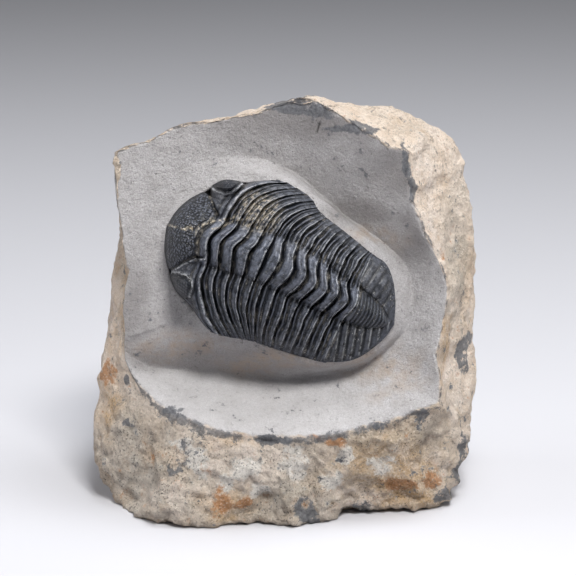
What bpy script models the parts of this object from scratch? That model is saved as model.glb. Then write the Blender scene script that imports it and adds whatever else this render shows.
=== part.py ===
"""A trilobite left standing proud on its own block of limestone.

The block stands on a flat base and its prepared face leans back. Everything on that face
is laid out on a drawing: x to the right and y down, in drawing units, as the face is seen
square on from VIEW_DISTANCE, with a height in millimetres above the face for each point.
The body of the animal has a drawing of its own, with x from head to tail and y across it.
"""
import math

import bmesh
import bpy
import numpy as np

# Driving dimensions, in metres and radians
BODY_LENGTH = 0.052
BODY_UNITS = 247.0
UNIT = BODY_LENGTH / BODY_UNITS
FACE_LEAN = math.radians(14.5)
VIEW_DISTANCE = 0.56
FACE_MIDDLE = (288.0, 288.0)
FACE_ORIGIN = (0.000524, -0.010648, 0.0465)
GAP = 0.00035
MM = 0.001

# The body on the face: its middle and how far it is turned, head up to the left
BODY_MIDDLE = (281.0, 270.0)
BODY_TURN = math.radians(22.0)
BED_HEIGHT = -1.6

# Body outline from head to tail, above and below the middle line, in body units
UPPER_EDGE = (
    (-122, -2), (-120, -15), (-112, -32), (-100, -45), (-96, -53), (-86, -64), (-70, -67),
    (-60, -71), (-45, -79), (-30, -84), (-17, -81.5), (-3, -80), (6, -75), (13, -68),
    (40, -61), (62, -54.5), (82, -48), (92, -47), (100, -42), (110, -30), (120, -10), (125, 8),
)
LOWER_EDGE = (
    (-122, 5), (-117, 24), (-108, 38), (-100, 50), (-88, 61), (-72, 66), (-50, 81.5),
    (-35, 84.5), (-20, 81), (0, 76.5), (20, 77), (50, 74), (70, 71), (93, 62), (105, 53),
    (115, 38), (123, 22), (125, 8),
)
MIDDLE_LINE = ((-122, 0), (-80, -1), (0, -4), (80, 6), (125, 10))

# Where the plates meet beside the axis, head to tail, and how those lines run
JOINT_LINES = (-70, -58, -44.7, -31.5, -20, -9.5, 4.5, 17.8, 30, 42, 54, 66)
JOINT_SKEW = -0.045
JOINT_BOW = 8.0
BOW_TURNS_AT = 4.1
SWEEP_LOWER = 41.0
SWEEP_UPPER = 33.0
SEGMENTS = len(JOINT_LINES) - 1
HEAD_SIDE = (-42.0, 84.0)
HEAD_SIDE_UPPER = (-38.0, -82.5)
TAIL_SIDE = (76.0, 69.5)
TAIL_SIDE_UPPER = (84.0, -48.0)

# Heights in millimetres above the face, one value for each joint line
CREST = (13.9, 15.0, 15.9, 16.6, 17.1, 17.4, 17.3, 16.6, 15.5, 14.1, 12.6, 11.0)
AXIS_RISE = 2.7
AXIS_SHARE = 0.29
JOINT_DEPTH = 0.75
RING_SWELL = 0.35
BAND_SWELL = 0.38
FOREHEAD_SWELL = 1.4
EYE_HEIGHT = 2.3
LOWER_EYE = ((-87.0, 52.0), (15.0, 11.5), 0.25)
UPPER_EYE = ((-82.0, -58.5), (14.0, 8.5), -0.3)
LOWER_TIP = (6.6, 6.2, 5.9, 5.6, 5.4, 5.3, 5.1, 5.0, 4.8, 4.5, 4.2, 3.9)
UPPER_TIP = (7.2, 7.0, 6.8, 6.6, 6.4, 6.2, 6.0, 5.8, 5.5, 5.2, 4.9, 4.6)
NOSE_HEIGHT = 0.8
TAIL_HEIGHT = 3.0

# Outlines of the block on the drawing, each point with its height: (x, y, height)
SHELF_EDGE = (
    (126, 338, 0.2), (156, 318, 0.4), (178, 320, 0.8), (197, 332, 2.0), (217, 340, 3.2),
    (252, 346, 3.6), (281, 355, 3.6), (309, 364, 3.0), (335, 366, 2.3), (360, 361, 1.8),
    (391, 338, 1.4), (400, 306, 1.4), (386, 256, 1.8), (352, 231, 2.6), (313, 195, 3.6),
    (291, 180, 4.4), (252, 173, 2.2), (213, 173, 0.9), (186, 188, 0.2), (163, 222, -0.3),
    (160, 255, -0.1), (150, 292, 0.1),
)
CREASE = (
    (126, 352, -0.8), (150, 366, -3.8), (182, 369, -4.8), (217, 372, -5.3), (255, 376, -5.4),
    (294, 378, -5.0), (314, 375, -4.4), (338, 371, -3.4), (362, 365, -2.4), (388, 350, -1.5),
    (405, 330, -0.6), (413, 305, -0.2), (411, 280, -0.6), (403, 261, -1.2), (389, 248, -1.8),
    (371, 234, -2.3), (349, 220, -2.7), (330, 207, -2.7), (314, 190, -2.2), (297, 175, -1.2),
    (275, 164, -0.2), (250, 157, 0.2), (215, 158, 0.0), (180, 170, -0.1), (152, 200, -0.4),
    (143, 250, -0.3), (135, 300, -0.1), (127, 335, 0.0),
)
RIM = (
    (117, 151, 0.0), (122, 227, 0.0), (129, 271, 0.0), (125, 332, 0.0), (125, 360, -0.2),
    (139, 384, 1.2), (152, 396, 2.8), (169, 409, 4.5), (192, 419, 6.0), (217, 428, 7.0),
    (258, 434, 8.0), (298, 435, 8.5), (339, 431, 8.0), (370, 423, 7.5), (398, 417, 7.0),
    (417, 410, 6.5), (438, 404, 5.5), (440, 386, 4.5), (435, 354, 4.0), (443, 321, 3.5),
    (447, 286, 3.5), (436, 257, 4.0), (423, 233, 5.0), (411, 201, 6.5), (406, 169, 8.0),
    (408, 152, 9.0), (389, 147, 8.5), (360, 129, 8.0), (325, 107, 7.0), (312, 99, 6.5),
    (289, 103, 4.0), (257, 114, 2.5), (212, 123, 1.0), (188, 125, 0.5), (166, 132, 0.3),
    (149, 142, 0.2), (129, 147, 0.0),
)
SHOULDER = (
    (115, 152, -5), (119, 168, -6), (120, 190, -7), (121, 223, -8), (118, 255, -9),
    (113, 287, -11), (113, 314, -12), (103, 348, -12), (97, 389, -11), (94, 413, -10), (95, 456, -8),
    (107, 483, -7), (111, 496, -8), (121, 507, -6), (133, 517, 0.4), (147, 523, 5),
    (176, 527, 8.4), (208, 527, 8.4), (260, 523, 5), (293, 527, 8.4), (308, 523, 5),
    (330, 522, 4), (349, 515, 1), (385, 512, 0), (409, 509, -1), (433, 509, -2),
    (453, 501, -6), (451, 491, -7), (460, 475, -9), (468, 435, -11), (469, 415, -12),
    (476, 389, -14), (476, 375, -14), (468, 319, -12), (472, 270, -10), (472, 205, -10),
    (464, 175, -10), (466, 162, -9), (455, 140, -8), (440, 127, -7), (420, 118, -6),
    (395, 106, -5), (365, 103, -4), (345, 100, -3), (325, 96, -1), (310, 96.5, 2),
    (289, 101, 0), (257, 112, -1), (233, 117, -2), (188, 123, -3), (149, 140, -4),
    (129, 145, -4),
)
BACK_SIZE = 0.93
BACK_HEIGHT = -35.0
BACK_SPLAY = 6.0
BACK_MIDDLE_HEIGHT = -40.0
BACK_SWELL = 2.0
RIND_SWELL = 1.5
LUMP_SIZE = 11.0
LUMP_HEIGHT = 1.6

# Sampling of the solids
RAYS = 84
RING_STATIONS = (
    0.0, 0.55, 1.0, 2.0, 2.55, 3.0, 3.4, 3.75, 4.0, 4.35, 4.7, 5.0, 5.3, 5.65, 6.0,
    6.25, 6.5, 6.75, 7.0, 7.2, 7.4, 7.6, 7.8, 8.0,
)
SEGMENT_CELLS = (4, 20)
HEAD_CELLS = (12, 32)
TAIL_CELLS = (10, 24)

# Colours of the materials
LIMESTONE_COLOUR = (0.30, 0.28, 0.25, 1.0)
SHELL_COLOUR = (0.022, 0.025, 0.030, 1.0)


def place(x, y, height):
    """World point of a drawing point: the drawing is scaled towards the eye as it rises,
    then leaned back about the face's level line."""
    rise = height * MM
    scale = UNIT * (1.0 - rise / VIEW_DISTANCE)
    across = (x - FACE_MIDDLE[0]) * scale
    up = (FACE_MIDDLE[1] - y) * scale
    sine = math.sin(FACE_LEAN)
    cosine = math.cos(FACE_LEAN)
    return np.stack([
        FACE_ORIGIN[0] + across,
        FACE_ORIGIN[1] + up * sine - rise * cosine,
        FACE_ORIGIN[2] + up * cosine + rise * sine,
    ], axis=-1)


def body_to_drawing(x, y):
    """Turn body axes into drawing axes."""
    cosine = math.cos(BODY_TURN)
    sine = math.sin(BODY_TURN)
    return (BODY_MIDDLE[0] + x * cosine - y * sine, BODY_MIDDLE[1] + x * sine + y * cosine)


def smoothstep(low, high, value):
    """Rise from 0 to 1 between two values with level ends."""
    t = np.clip((value - low) / (high - low), 0.0, 1.0)
    return t * t * (3.0 - 2.0 * t)


def along(points, x, column=1):
    """Value of a polyline's column at x."""
    table = np.array(points, float)
    return np.interp(x, table[:, 0], table[:, column])


def lattice_value(cell, seed):
    """A fixed pseudo-random number in 0..1 for each whole-number cell."""
    mixed = np.sin(cell @ np.array([12.9898, 78.233, 37.719]) + seed * 11.3) * 43758.5453
    return mixed - np.floor(mixed)


def lumps(points, size, seed):
    """Value noise in -1..1: lattice values blended smoothly over cells of the given size."""
    scaled = points / size
    cell = np.floor(scaled)
    part = scaled - cell
    part = part * part * (3.0 - 2.0 * part)
    total = np.zeros(len(points))
    for corner in np.ndindex(2, 2, 2):
        corner = np.array(corner, float)
        weight = np.prod(np.where(corner > 0, part, 1.0 - part), axis=1)
        total += weight * lattice_value(cell + corner, seed)
    return 2.0 * total - 1.0


def polar(points, theta):
    """Radius and height of a closed outline in the directions theta about the body's middle."""
    table = np.array(points, float)
    across = table[:, 0] - BODY_MIDDLE[0]
    down = table[:, 1] - BODY_MIDDLE[1]
    angle = np.arctan2(-down, across)
    order = np.argsort(angle)
    angle = angle[order]
    radius = np.hypot(across, down)[order]
    angle = np.concatenate([angle - 2 * math.pi, angle, angle + 2 * math.pi])
    found = [np.interp(theta, angle, np.tile(radius, 3))]
    if table.shape[1] > 2:
        found.append(np.interp(theta, angle, np.tile(table[order, 2], 3)))
    return found


def body_outline():
    """The body's outline on the drawing, head first and round again."""
    upper = list(UPPER_EDGE)
    lower = list(LOWER_EDGE)[-2:0:-1]
    return [body_to_drawing(x, y) for x, y in upper + lower]


def block_surface(theta, station):
    """The block as a loft through closed outlines about the body's middle.

    Stations: 0 middle of the bed, 1 foot of the bed's wall, 2 its top, 3 shelf edge,
    4 crease of the moat, 5 prepared rim, 6 shoulder seen as the silhouette, 7 edge of the
    back, 8 middle of the back. Radius and height run straight from one to the next, with
    a swell between rim and shoulder and lumps on the natural faces.
    """
    foot = polar(body_outline(), theta)[0] + GAP / UNIT
    shelf_radius, shelf_height = polar(SHELF_EDGE, theta)
    crease_radius, crease_height = polar(CREASE, theta)
    rim_radius, rim_height = polar(RIM, theta)
    shoulder_radius, shoulder_height = polar(SHOULDER, theta)
    shelf_radius = np.maximum(shelf_radius, foot + 2.0)
    crease_radius = np.maximum(crease_radius, shelf_radius + 1.5)
    back_height = BACK_HEIGHT + BACK_SPLAY * np.sin(theta)
    turns = np.linspace(-0.35, 0.35, 15)
    back_radius = np.mean([polar(SHOULDER, theta + turn)[0] for turn in turns], axis=0)
    radii = np.stack([
        np.zeros_like(foot), foot, foot + 0.4, shelf_radius, crease_radius, rim_radius,
        shoulder_radius, back_radius * BACK_SIZE, np.zeros_like(foot),
    ])
    heights = np.stack([
        np.full_like(foot, BED_HEIGHT), np.full_like(foot, BED_HEIGHT), shelf_height + 0.4,
        shelf_height, crease_height, rim_height, shoulder_height, back_height,
        np.full_like(foot, BACK_MIDDLE_HEIGHT),
    ])
    low = np.clip(np.floor(station).astype(int), 0, 7)
    part = station - low
    index = np.arange(len(theta))
    radius = radii[low, index] * (1.0 - part) + radii[low + 1, index] * part
    height = heights[low, index] * (1.0 - part) + heights[low + 1, index] * part
    height = height + np.where(low == 5, RIND_SWELL * np.sin(math.pi * part), 0.0)
    height = height - np.where(low == 7, BACK_SWELL * np.sin(math.pi * part) ** 2, 0.0)
    x = BODY_MIDDLE[0] + radius * np.cos(theta)
    y = BODY_MIDDLE[1] - radius * np.sin(theta)
    rough = smoothstep(5.0, 5.5, station) * (1.0 - 0.8 * np.exp(-((station - 6.0) / 0.12) ** 2))
    spot = np.stack([x * UNIT / MM, y * UNIT / MM, height], axis=-1)
    height = height + rough * LUMP_HEIGHT * lumps(spot, LUMP_SIZE, 1)
    side = rough * LUMP_HEIGHT * lumps(spot, LUMP_SIZE, 2) / (UNIT / MM)
    side = side * smoothstep(6.0, 6.3, station)
    solid = place(x - side * np.cos(theta), y + side * np.sin(theta), height)
    solid[:, 2] = np.maximum(solid[:, 2], 0.0)
    return solid


def joint_line(index, across):
    """Where two plates meet, for across from -1 at the upper edge to 1 at the lower one.

    Beside the axis the line is straight; on the axis it bows forward on the front plates
    and back on the rear ones; past the bend of the ribs it sweeps back to the edge.
    """
    base = JOINT_LINES[index]
    sweep_lower = SWEEP_LOWER * math.exp(-((index / 5.0) ** 2.2))
    sweep_upper = SWEEP_UPPER * math.exp(-((index / 5.5) ** 2.4)) + 6.0
    end_lower = base - 3.5 + sweep_lower
    end_upper = base + 3.0 + sweep_upper
    middle = along(MIDDLE_LINE, base)
    reach_lower = along(LOWER_EDGE, end_lower) - middle
    reach_upper = middle - along(UPPER_EDGE, end_upper)
    y = middle + np.where(across > 0, across * reach_lower, across * reach_upper)
    out = np.clip((np.abs(across) - AXIS_SHARE) / (1.0 - AXIS_SHARE), 0.0, 1.0)
    sweep = np.where(across > 0, sweep_lower * out ** 2.3, sweep_upper * out ** 3.4)
    bow = JOINT_BOW * math.tanh((index - BOW_TURNS_AT) / 1.6)
    bow = bow * (1.0 - smoothstep(0.0, AXIS_SHARE * 1.15, np.abs(across)))
    return base + JOINT_SKEW * y + sweep + bow, y


def cross_height(place_along, across):
    """Height over the thorax at a place along it (0 to SEGMENTS) and across it (-1 to 1)."""
    marks = np.arange(SEGMENTS + 1)
    crest = np.interp(place_along, marks, CREST)
    lower = np.interp(place_along, marks, LOWER_TIP)
    upper = np.interp(place_along, marks, UPPER_TIP)
    tip = np.where(across > 0, lower, upper)
    furrow = crest - AXIS_RISE
    size = np.abs(across)
    out = np.clip((size - AXIS_SHARE) / (1.0 - AXIS_SHARE), 0.0, 1.0)
    flank = tip + (furrow - tip) * (1.0 - out ** 2.2) ** 0.85
    axis = AXIS_RISE * np.sqrt(np.clip(1.0 - (size / AXIS_SHARE) ** 2, 0.0, 1.0))
    return flank + axis


def plate_relief(along_plate, across):
    """Relief of one thoracic plate: a full ring on the axis and two bands on each rib,
    falling away at the joints in front and behind."""
    edge = np.minimum(along_plate, 1.0 - along_plate)
    joint = -JOINT_DEPTH * (1.0 - smoothstep(0.0, 0.22, edge))
    ring = RING_SWELL * np.sin(math.pi * along_plate)
    bands = BAND_SWELL * np.cos(4.0 * math.pi * (along_plate - 0.25))
    on_rib = smoothstep(AXIS_SHARE * 0.8, AXIS_SHARE * 1.25, np.abs(across))
    fade = 1.0 - 0.7 * smoothstep(0.75, 1.0, np.abs(across))
    return joint * fade + ring * (1.0 - on_rib) + bands * on_rib * fade


def shifted(x, y, distance):
    """Move a line sideways in its own plane, towards the tail for a positive distance."""
    slope_x = np.gradient(x)
    slope_y = np.gradient(y)
    length = np.hypot(slope_x, slope_y)
    return x + distance * slope_y / length, y - distance * slope_x / length


def segment_surface(index, u, v):
    """Thoracic plate number index (0 first) for u from front to back and v across."""
    line = np.unique(v)
    half_gap = 0.5 * GAP / UNIT
    front_x, front_y = shifted(*joint_line(index, line), half_gap)
    back_x, back_y = shifted(*joint_line(index + 1, line), -half_gap)
    x = np.interp(v, line, front_x) * (1.0 - u) + np.interp(v, line, back_x) * u
    y = np.interp(v, line, front_y) * (1.0 - u) + np.interp(v, line, back_y) * u
    height = cross_height(index + u, v) + plate_relief(u, v)
    return x, y, height


def edge_curve(upper, lower, v):
    """A stretch of the outline, by its own length, from v = -1 at the upper side point
    through the end of the body to v = 1 at the lower one."""
    def branch(points, share):
        table = np.array(points, float)
        run = np.concatenate([[0.0], np.cumsum(np.hypot(*np.diff(table, axis=0).T))])
        run = run / run[-1]
        return np.interp(share, run, table[:, 0]), np.interp(share, run, table[:, 1])
    upper_x, upper_y = branch(upper, np.clip(-v, 0.0, 1.0))
    lower_x, lower_y = branch(lower, np.clip(v, 0.0, 1.0))
    return np.where(v < 0, upper_x, lower_x), np.where(v < 0, upper_y, lower_y)


def front_edge(v):
    """The head's free edge, from the upper cheek corner round the nose to the lower one."""
    upper = [(-122.5, 1.5)] + [p for p in UPPER_EDGE if p[0] < HEAD_SIDE_UPPER[0]]
    lower = [(-122.5, 1.5)] + [p for p in LOWER_EDGE if p[0] < HEAD_SIDE[0]]
    return edge_curve(upper + [HEAD_SIDE_UPPER], lower + [HEAD_SIDE], v)


def rear_edge(v):
    """The tail's free edge, from the upper side corner round the end to the lower one."""
    upper = [(125.5, 8)] + [p for p in UPPER_EDGE[::-1] if 125 > p[0] > TAIL_SIDE_UPPER[0]]
    lower = [(125.5, 8)] + [p for p in LOWER_EDGE[::-1] if 125 > p[0] > TAIL_SIDE[0]]
    return edge_curve(upper + [TAIL_SIDE_UPPER], lower + [TAIL_SIDE], v)


def bump(x, y, centre, radii, turn):
    """A rounded knoll over an ellipse on the body drawing: 1 in the middle, 0 outside."""
    dx = x - centre[0]
    dy = y - centre[1]
    cosine = math.cos(turn)
    sine = math.sin(turn)
    a = (dx * cosine + dy * sine) / radii[0]
    b = (dy * cosine - dx * sine) / radii[1]
    inside = np.clip(1.0 - a * a - b * b, 0.0, 1.0)
    return inside * (2.0 - inside)


def head_surface(u, v):
    """Head shield for u from the free edge to the joint with the first plate.

    It falls like a quarter ellipse from the joint line to the nose and cheeks; the
    forehead swells between two furrows that open forwards, and the eyes stand on the
    cheeks beside it.
    """
    line = np.unique(v)
    front_x, front_y = front_edge(line)
    back_x, back_y = shifted(*joint_line(0, line), -0.5 * GAP / UNIT)
    x = np.interp(v, line, front_x) * (1.0 - u) + np.interp(v, line, back_x) * u
    y = np.interp(v, line, front_y) * (1.0 - u) + np.interp(v, line, back_y) * u
    top = cross_height(np.zeros_like(v), v)
    side = np.where(v > 0, LOWER_TIP[0], UPPER_TIP[0])
    edge = NOSE_HEIGHT + (side - 0.6 - NOSE_HEIGHT) * smoothstep(0.35, 1.0, np.abs(v))
    height = edge + (top - edge) * np.sqrt(np.clip(1.0 - (1.0 - u) ** 2.2, 0.0, 1.0))
    lower_furrow = 18.0 + 0.95 * (-79.0 - x) - y
    upper_furrow = y + 30.0 + 1.15 * (-82.0 - x)
    inside = np.minimum(np.minimum(lower_furrow, upper_furrow), -87.0 - x)
    free = smoothstep(0.0, 0.12, u)
    height = height + free * FOREHEAD_SWELL * smoothstep(0.0, 13.0, inside)
    height = height + EYE_HEIGHT * bump(x, y, *LOWER_EYE)
    height = height + EYE_HEIGHT * bump(x, y, *UPPER_EYE)
    height = height - 0.7 * (1.0 - smoothstep(0.0, 0.06, 1.0 - u))
    return x, y, height


def tail_surface(u, v):
    """Tail shield for u from the joint with the last plate to the free edge, with its
    axis tapering to a blunt end and one strong rib across the front."""
    line = np.unique(v)
    front_x, front_y = shifted(*joint_line(SEGMENTS, line), 0.5 * GAP / UNIT)
    back_x, back_y = rear_edge(line)
    x = np.interp(v, line, front_x) * (1.0 - u) + np.interp(v, line, back_x) * u
    y = np.interp(v, line, front_y) * (1.0 - u) + np.interp(v, line, back_y) * u
    out = np.clip((np.abs(v) - AXIS_SHARE) / (1.0 - AXIS_SHARE), 0.0, 1.0)
    side = np.where(v > 0, LOWER_TIP[-1], UPPER_TIP[-1])
    top = side + (CREST[-1] - AXIS_RISE - side) * (1.0 - out ** 2.2) ** 0.85
    edge = TAIL_HEIGHT + (side - 0.5 - TAIL_HEIGHT) * np.abs(v)
    height = edge + (top - edge) * (1.0 - np.clip(u, 0.0, 1.0) ** 1.7) ** 0.75
    centre = along(MIDDLE_LINE, x)
    half = 20.5 * np.sqrt(np.clip(1.0 - ((x - 68.0) / 52.0) ** 2, 0.0, 1.0)) + 0.01
    axis = np.sqrt(np.clip(1.0 - ((y - centre) / half) ** 2, 0.0, 1.0))
    height = height + AXIS_RISE * axis * (1.0 - 0.55 * smoothstep(70.0, 116.0, x))
    rib = x - (81.0 + JOINT_SKEW * y)
    height = height + 0.35 * np.exp(-(rib / 3.0) ** 2) * (1.0 - smoothstep(0.8, 1.0, np.abs(v)))
    height = height - 0.7 * (1.0 - smoothstep(0.0, 0.08, u))
    return x, y, height


def parts_collection(name):
    """A collection of that name in the scene."""
    collection = bpy.data.collections.new(name)
    bpy.context.scene.collection.children.link(collection)
    return collection


def plain_material(name, colour, roughness):
    """A Principled material with one colour."""
    material = bpy.data.materials.new(name)
    material.use_nodes = True
    shader = material.node_tree.nodes["Principled BSDF"]
    shader.inputs["Base Color"].default_value = colour
    shader.inputs["Roughness"].default_value = roughness
    shader.inputs["Metallic"].default_value = 0.0
    return material


def add_part(collection, name, bm, material):
    """Turn a working mesh into a named object with its material."""
    mesh = bpy.data.meshes.new(name)
    bm.to_mesh(mesh)
    bm.free()
    mesh.materials.append(material)
    mesh.shade_smooth()
    mesh.set_sharp_from_angle(angle=math.radians(40.0))
    part = bpy.data.objects.new(name, mesh)
    collection.objects.link(part)
    return part


def make_block(collection, material):
    """The limestone block: a ball primitive whose rings are carried to the stations."""
    bm = bmesh.new()
    rings = len(RING_STATIONS) - 1
    bmesh.ops.create_uvsphere(bm, u_segments=RAYS, v_segments=rings, radius=1.0)
    ball = np.array([vert.co[:] for vert in bm.verts])
    theta = np.arctan2(ball[:, 1], ball[:, 0])
    ring = np.rint(np.arccos(np.clip(ball[:, 2], -1.0, 1.0)) / math.pi * rings).astype(int)
    solid = block_surface(theta, np.array(RING_STATIONS)[ring])
    for vert, spot in zip(bm.verts, solid):
        vert.co = spot
    return add_part(collection, "matrix_stone", bm, material)


def make_plate(collection, name, cells, surface, material):
    """A plate of the animal: a flat grid raised to its surface, then carried down to the
    bed and closed with one flat face."""
    bm = bmesh.new()
    bmesh.ops.create_grid(bm, x_segments=cells[0], y_segments=cells[1], size=0.5)
    flat = np.array([vert.co[:] for vert in bm.verts])
    u = np.round(flat[:, 0] + 0.5, 6)
    v = np.round(-2.0 * flat[:, 1], 6)
    x, y, height = surface(u, v)
    floor = BED_HEIGHT + GAP / MM
    drawn_x, drawn_y = body_to_drawing(x, y)
    top = place(drawn_x, drawn_y, height)
    bottom = place(drawn_x, drawn_y, np.full_like(height, floor))
    rim = [edge for edge in bm.edges if edge.is_boundary]
    indices = {vert: number for number, vert in enumerate(bm.verts)}
    skirt = bmesh.ops.extrude_edge_only(bm, edges=rim)["geom"]
    lowered = [item for item in skirt if isinstance(item, bmesh.types.BMVert)]
    number_at = {tuple(np.round(flat[number], 5)): number for number in indices.values()}
    for vert in lowered:
        vert.co = bottom[number_at[tuple(np.round(vert.co[:], 5))]]
    for vert, number in indices.items():
        vert.co = top[number]
    bmesh.ops.holes_fill(bm, edges=[edge for edge in bm.edges if edge.is_boundary], sides=0)
    bmesh.ops.recalc_face_normals(bm, faces=bm.faces)
    return add_part(collection, name, bm, material)


def make_trilobite(collection, material):
    """Head shield, the plates of the thorax in order, and tail shield."""
    make_plate(collection, "cephalon", HEAD_CELLS, head_surface, material)
    for index in range(SEGMENTS):
        def surface(u, v, index=index):
            return segment_surface(index, u, v)
        name = "thoracic_segment_%02d" % (index + 1)
        make_plate(collection, name, SEGMENT_CELLS, surface, material)
    make_plate(collection, "pygidium", TAIL_CELLS, tail_surface, material)


def main():
    """Clear the scene and build the fossil on its block."""
    for item in list(bpy.data.objects):
        bpy.data.objects.remove(item, do_unlink=True)
    collection = parts_collection("trilobite_on_matrix")
    stone = plain_material("limestone", LIMESTONE_COLOUR, 0.9)
    shell = plain_material("fossil_shell", SHELL_COLOUR, 0.4)
    make_block(collection, stone)
    make_trilobite(collection, shell)


main()
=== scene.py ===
"""A trilobite left standing proud on its own block of limestone: the finished surfaces.

Every shape here is worked out on the same drawing as the solid model: x to the right and
y down, in drawing units, as the face is seen square on from VIEW_DISTANCE, with a height
in millimetres above the face. The animal has a drawing of its own, x from head to tail
and y across it, turned by BODY_TURN.
"""
import math

import bpy
import numpy as np
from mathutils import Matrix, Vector


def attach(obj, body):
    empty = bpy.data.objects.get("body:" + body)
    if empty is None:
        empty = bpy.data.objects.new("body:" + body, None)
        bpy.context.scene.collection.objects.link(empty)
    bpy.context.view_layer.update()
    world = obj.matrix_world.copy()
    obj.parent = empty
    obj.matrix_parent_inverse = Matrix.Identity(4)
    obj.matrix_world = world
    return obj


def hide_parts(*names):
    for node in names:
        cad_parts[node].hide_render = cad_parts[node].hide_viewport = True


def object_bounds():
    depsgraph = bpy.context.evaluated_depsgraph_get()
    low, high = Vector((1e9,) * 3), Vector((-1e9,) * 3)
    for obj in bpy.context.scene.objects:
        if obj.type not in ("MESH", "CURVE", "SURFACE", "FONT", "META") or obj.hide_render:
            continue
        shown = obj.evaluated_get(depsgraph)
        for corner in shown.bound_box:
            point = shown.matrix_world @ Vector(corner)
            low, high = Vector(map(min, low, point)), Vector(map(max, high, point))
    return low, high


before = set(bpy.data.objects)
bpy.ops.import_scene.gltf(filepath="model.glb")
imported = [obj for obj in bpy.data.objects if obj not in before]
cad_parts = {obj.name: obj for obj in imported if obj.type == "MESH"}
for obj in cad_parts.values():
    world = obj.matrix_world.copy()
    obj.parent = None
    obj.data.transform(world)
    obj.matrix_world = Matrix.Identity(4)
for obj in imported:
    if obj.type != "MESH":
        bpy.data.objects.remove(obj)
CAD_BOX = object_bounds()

# Driving dimensions, in metres and radians
BODY_LENGTH = 0.052
BODY_UNITS = 247.0
UNIT = BODY_LENGTH / BODY_UNITS
FACE_LEAN = math.radians(14.5)
VIEW_DISTANCE = 0.56
FACE_MIDDLE = (288.0, 288.0)
FACE_ORIGIN = (0.000524, -0.010648, 0.0465)
GAP = 0.00035
MM = 0.001

# The body on the face: its middle and how far it is turned, head up to the left
BODY_MIDDLE = (281.0, 270.0)
BODY_TURN = math.radians(22.0)
BED_HEIGHT = -1.6

# Body outline as traced from head to tail, above and below the middle line, in body units
UPPER_TRACE = (
    (-122, -2), (-120, -15), (-112, -32), (-100, -45), (-96, -53), (-86, -64), (-70, -67),
    (-60, -71), (-45, -79), (-30, -84), (-17, -81.5), (-3, -80), (6, -75), (13, -68),
    (40, -61), (62, -54.5), (82, -48), (92, -47), (100, -42), (110, -30), (120, -10), (125, 8),
)
LOWER_TRACE = (
    (-122, 5), (-117, 24), (-108, 38), (-100, 50), (-88, 61), (-72, 66), (-50, 81.5),
    (-35, 84.5), (-20, 81), (0, 76.5), (20, 77), (50, 74), (70, 71), (93, 62), (105, 53),
    (115, 38), (123, 22), (125, 8),
)
CORNER_ROUNDS = 3
MIDDLE_LINE = ((-122, 0), (-80, -1), (0, -4), (80, 6), (125, 10))
NOSE_TIP = (-122.5, 1.5)
TAIL_TIP = (125.5, 8)
TAIL_END = 125

# Where the plates meet beside the axis, head to tail, and how those lines run
JOINT_LINES = (-70, -58, -44.7, -31.5, -20, -9.5, 4.5, 17.8, 30, 42, 54, 66)
JOINT_SKEW = -0.045
JOINT_BOW = 8.0
BOW_TURNS_AT = 4.1
BOW_TURNS_OVER = 1.6
JOINT_WAVER = 0.9
SEGMENTS = len(JOINT_LINES) - 1

# How a joint's end sweeps back: how far at the head, the plate where that fades, how
# sharply, what is left at the tail, the power of its curve, and where it meets the edge
SWEEP_LOWER = (41.0, 5.0, 2.2, 0.0, 2.3, -3.5)
SWEEP_UPPER = (33.0, 5.5, 2.4, 6.0, 3.4, 3.0)

# Side points where the head's and the tail's free edges end
HEAD_SIDE = (-42.0, 84.0)
HEAD_SIDE_UPPER = (-38.0, -82.5)
TAIL_SIDE = (76.0, 69.5)
TAIL_SIDE_UPPER = (84.0, -48.0)

# Heights in millimetres above the face, one value for each joint line
CREST = (13.9, 15.0, 15.9, 16.6, 17.1, 17.4, 17.3, 16.6, 15.5, 14.1, 12.6, 11.0)
AXIS_RISE = 2.7
AXIS_SHARE = 0.29
LOWER_TIP = (6.6, 6.2, 5.9, 5.6, 5.4, 5.3, 5.1, 5.0, 4.8, 4.5, 4.2, 3.9)
UPPER_TIP = (7.2, 7.0, 6.8, 6.6, 6.4, 6.2, 6.0, 5.8, 5.5, 5.2, 4.9, 4.6)
NOSE_HEIGHT = 0.8
TAIL_HEIGHT = 3.0
FLANK_CURVE = (2.2, 0.85)

# Outlines of the block on the drawing, each point with its height: (x, y, height)
SHELF_EDGE = (
    (126, 338, 0.2), (156, 318, 0.4), (178, 320, 0.8), (197, 332, 2.0), (217, 340, 3.2),
    (252, 346, 3.6), (281, 355, 3.6), (309, 364, 3.0), (335, 366, 2.3), (360, 361, 1.8),
    (391, 338, 1.4), (400, 306, 1.4), (386, 256, 1.8), (352, 231, 2.6), (313, 195, 3.6),
    (291, 180, 4.4), (252, 173, 2.2), (213, 173, 0.9), (186, 188, 0.2), (163, 222, -0.3),
    (160, 255, -0.1), (150, 292, 0.1),
)
CREASE = (
    (126, 352, -0.8), (150, 366, -3.8), (182, 369, -4.8), (217, 372, -5.3), (255, 376, -5.4),
    (294, 378, -5.0), (314, 375, -4.4), (338, 371, -3.4), (362, 365, -2.4), (388, 350, -1.5),
    (405, 330, -0.6), (413, 305, -0.2), (411, 280, -0.6), (403, 261, -1.2), (389, 248, -1.8),
    (371, 234, -2.3), (349, 220, -2.7), (330, 207, -2.7), (314, 190, -2.2), (297, 175, -1.2),
    (275, 164, -0.2), (250, 157, 0.2), (215, 158, 0.0), (180, 170, -0.1), (152, 200, -0.4),
    (143, 250, -0.3), (135, 300, -0.1), (127, 335, 0.0),
)
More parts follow.
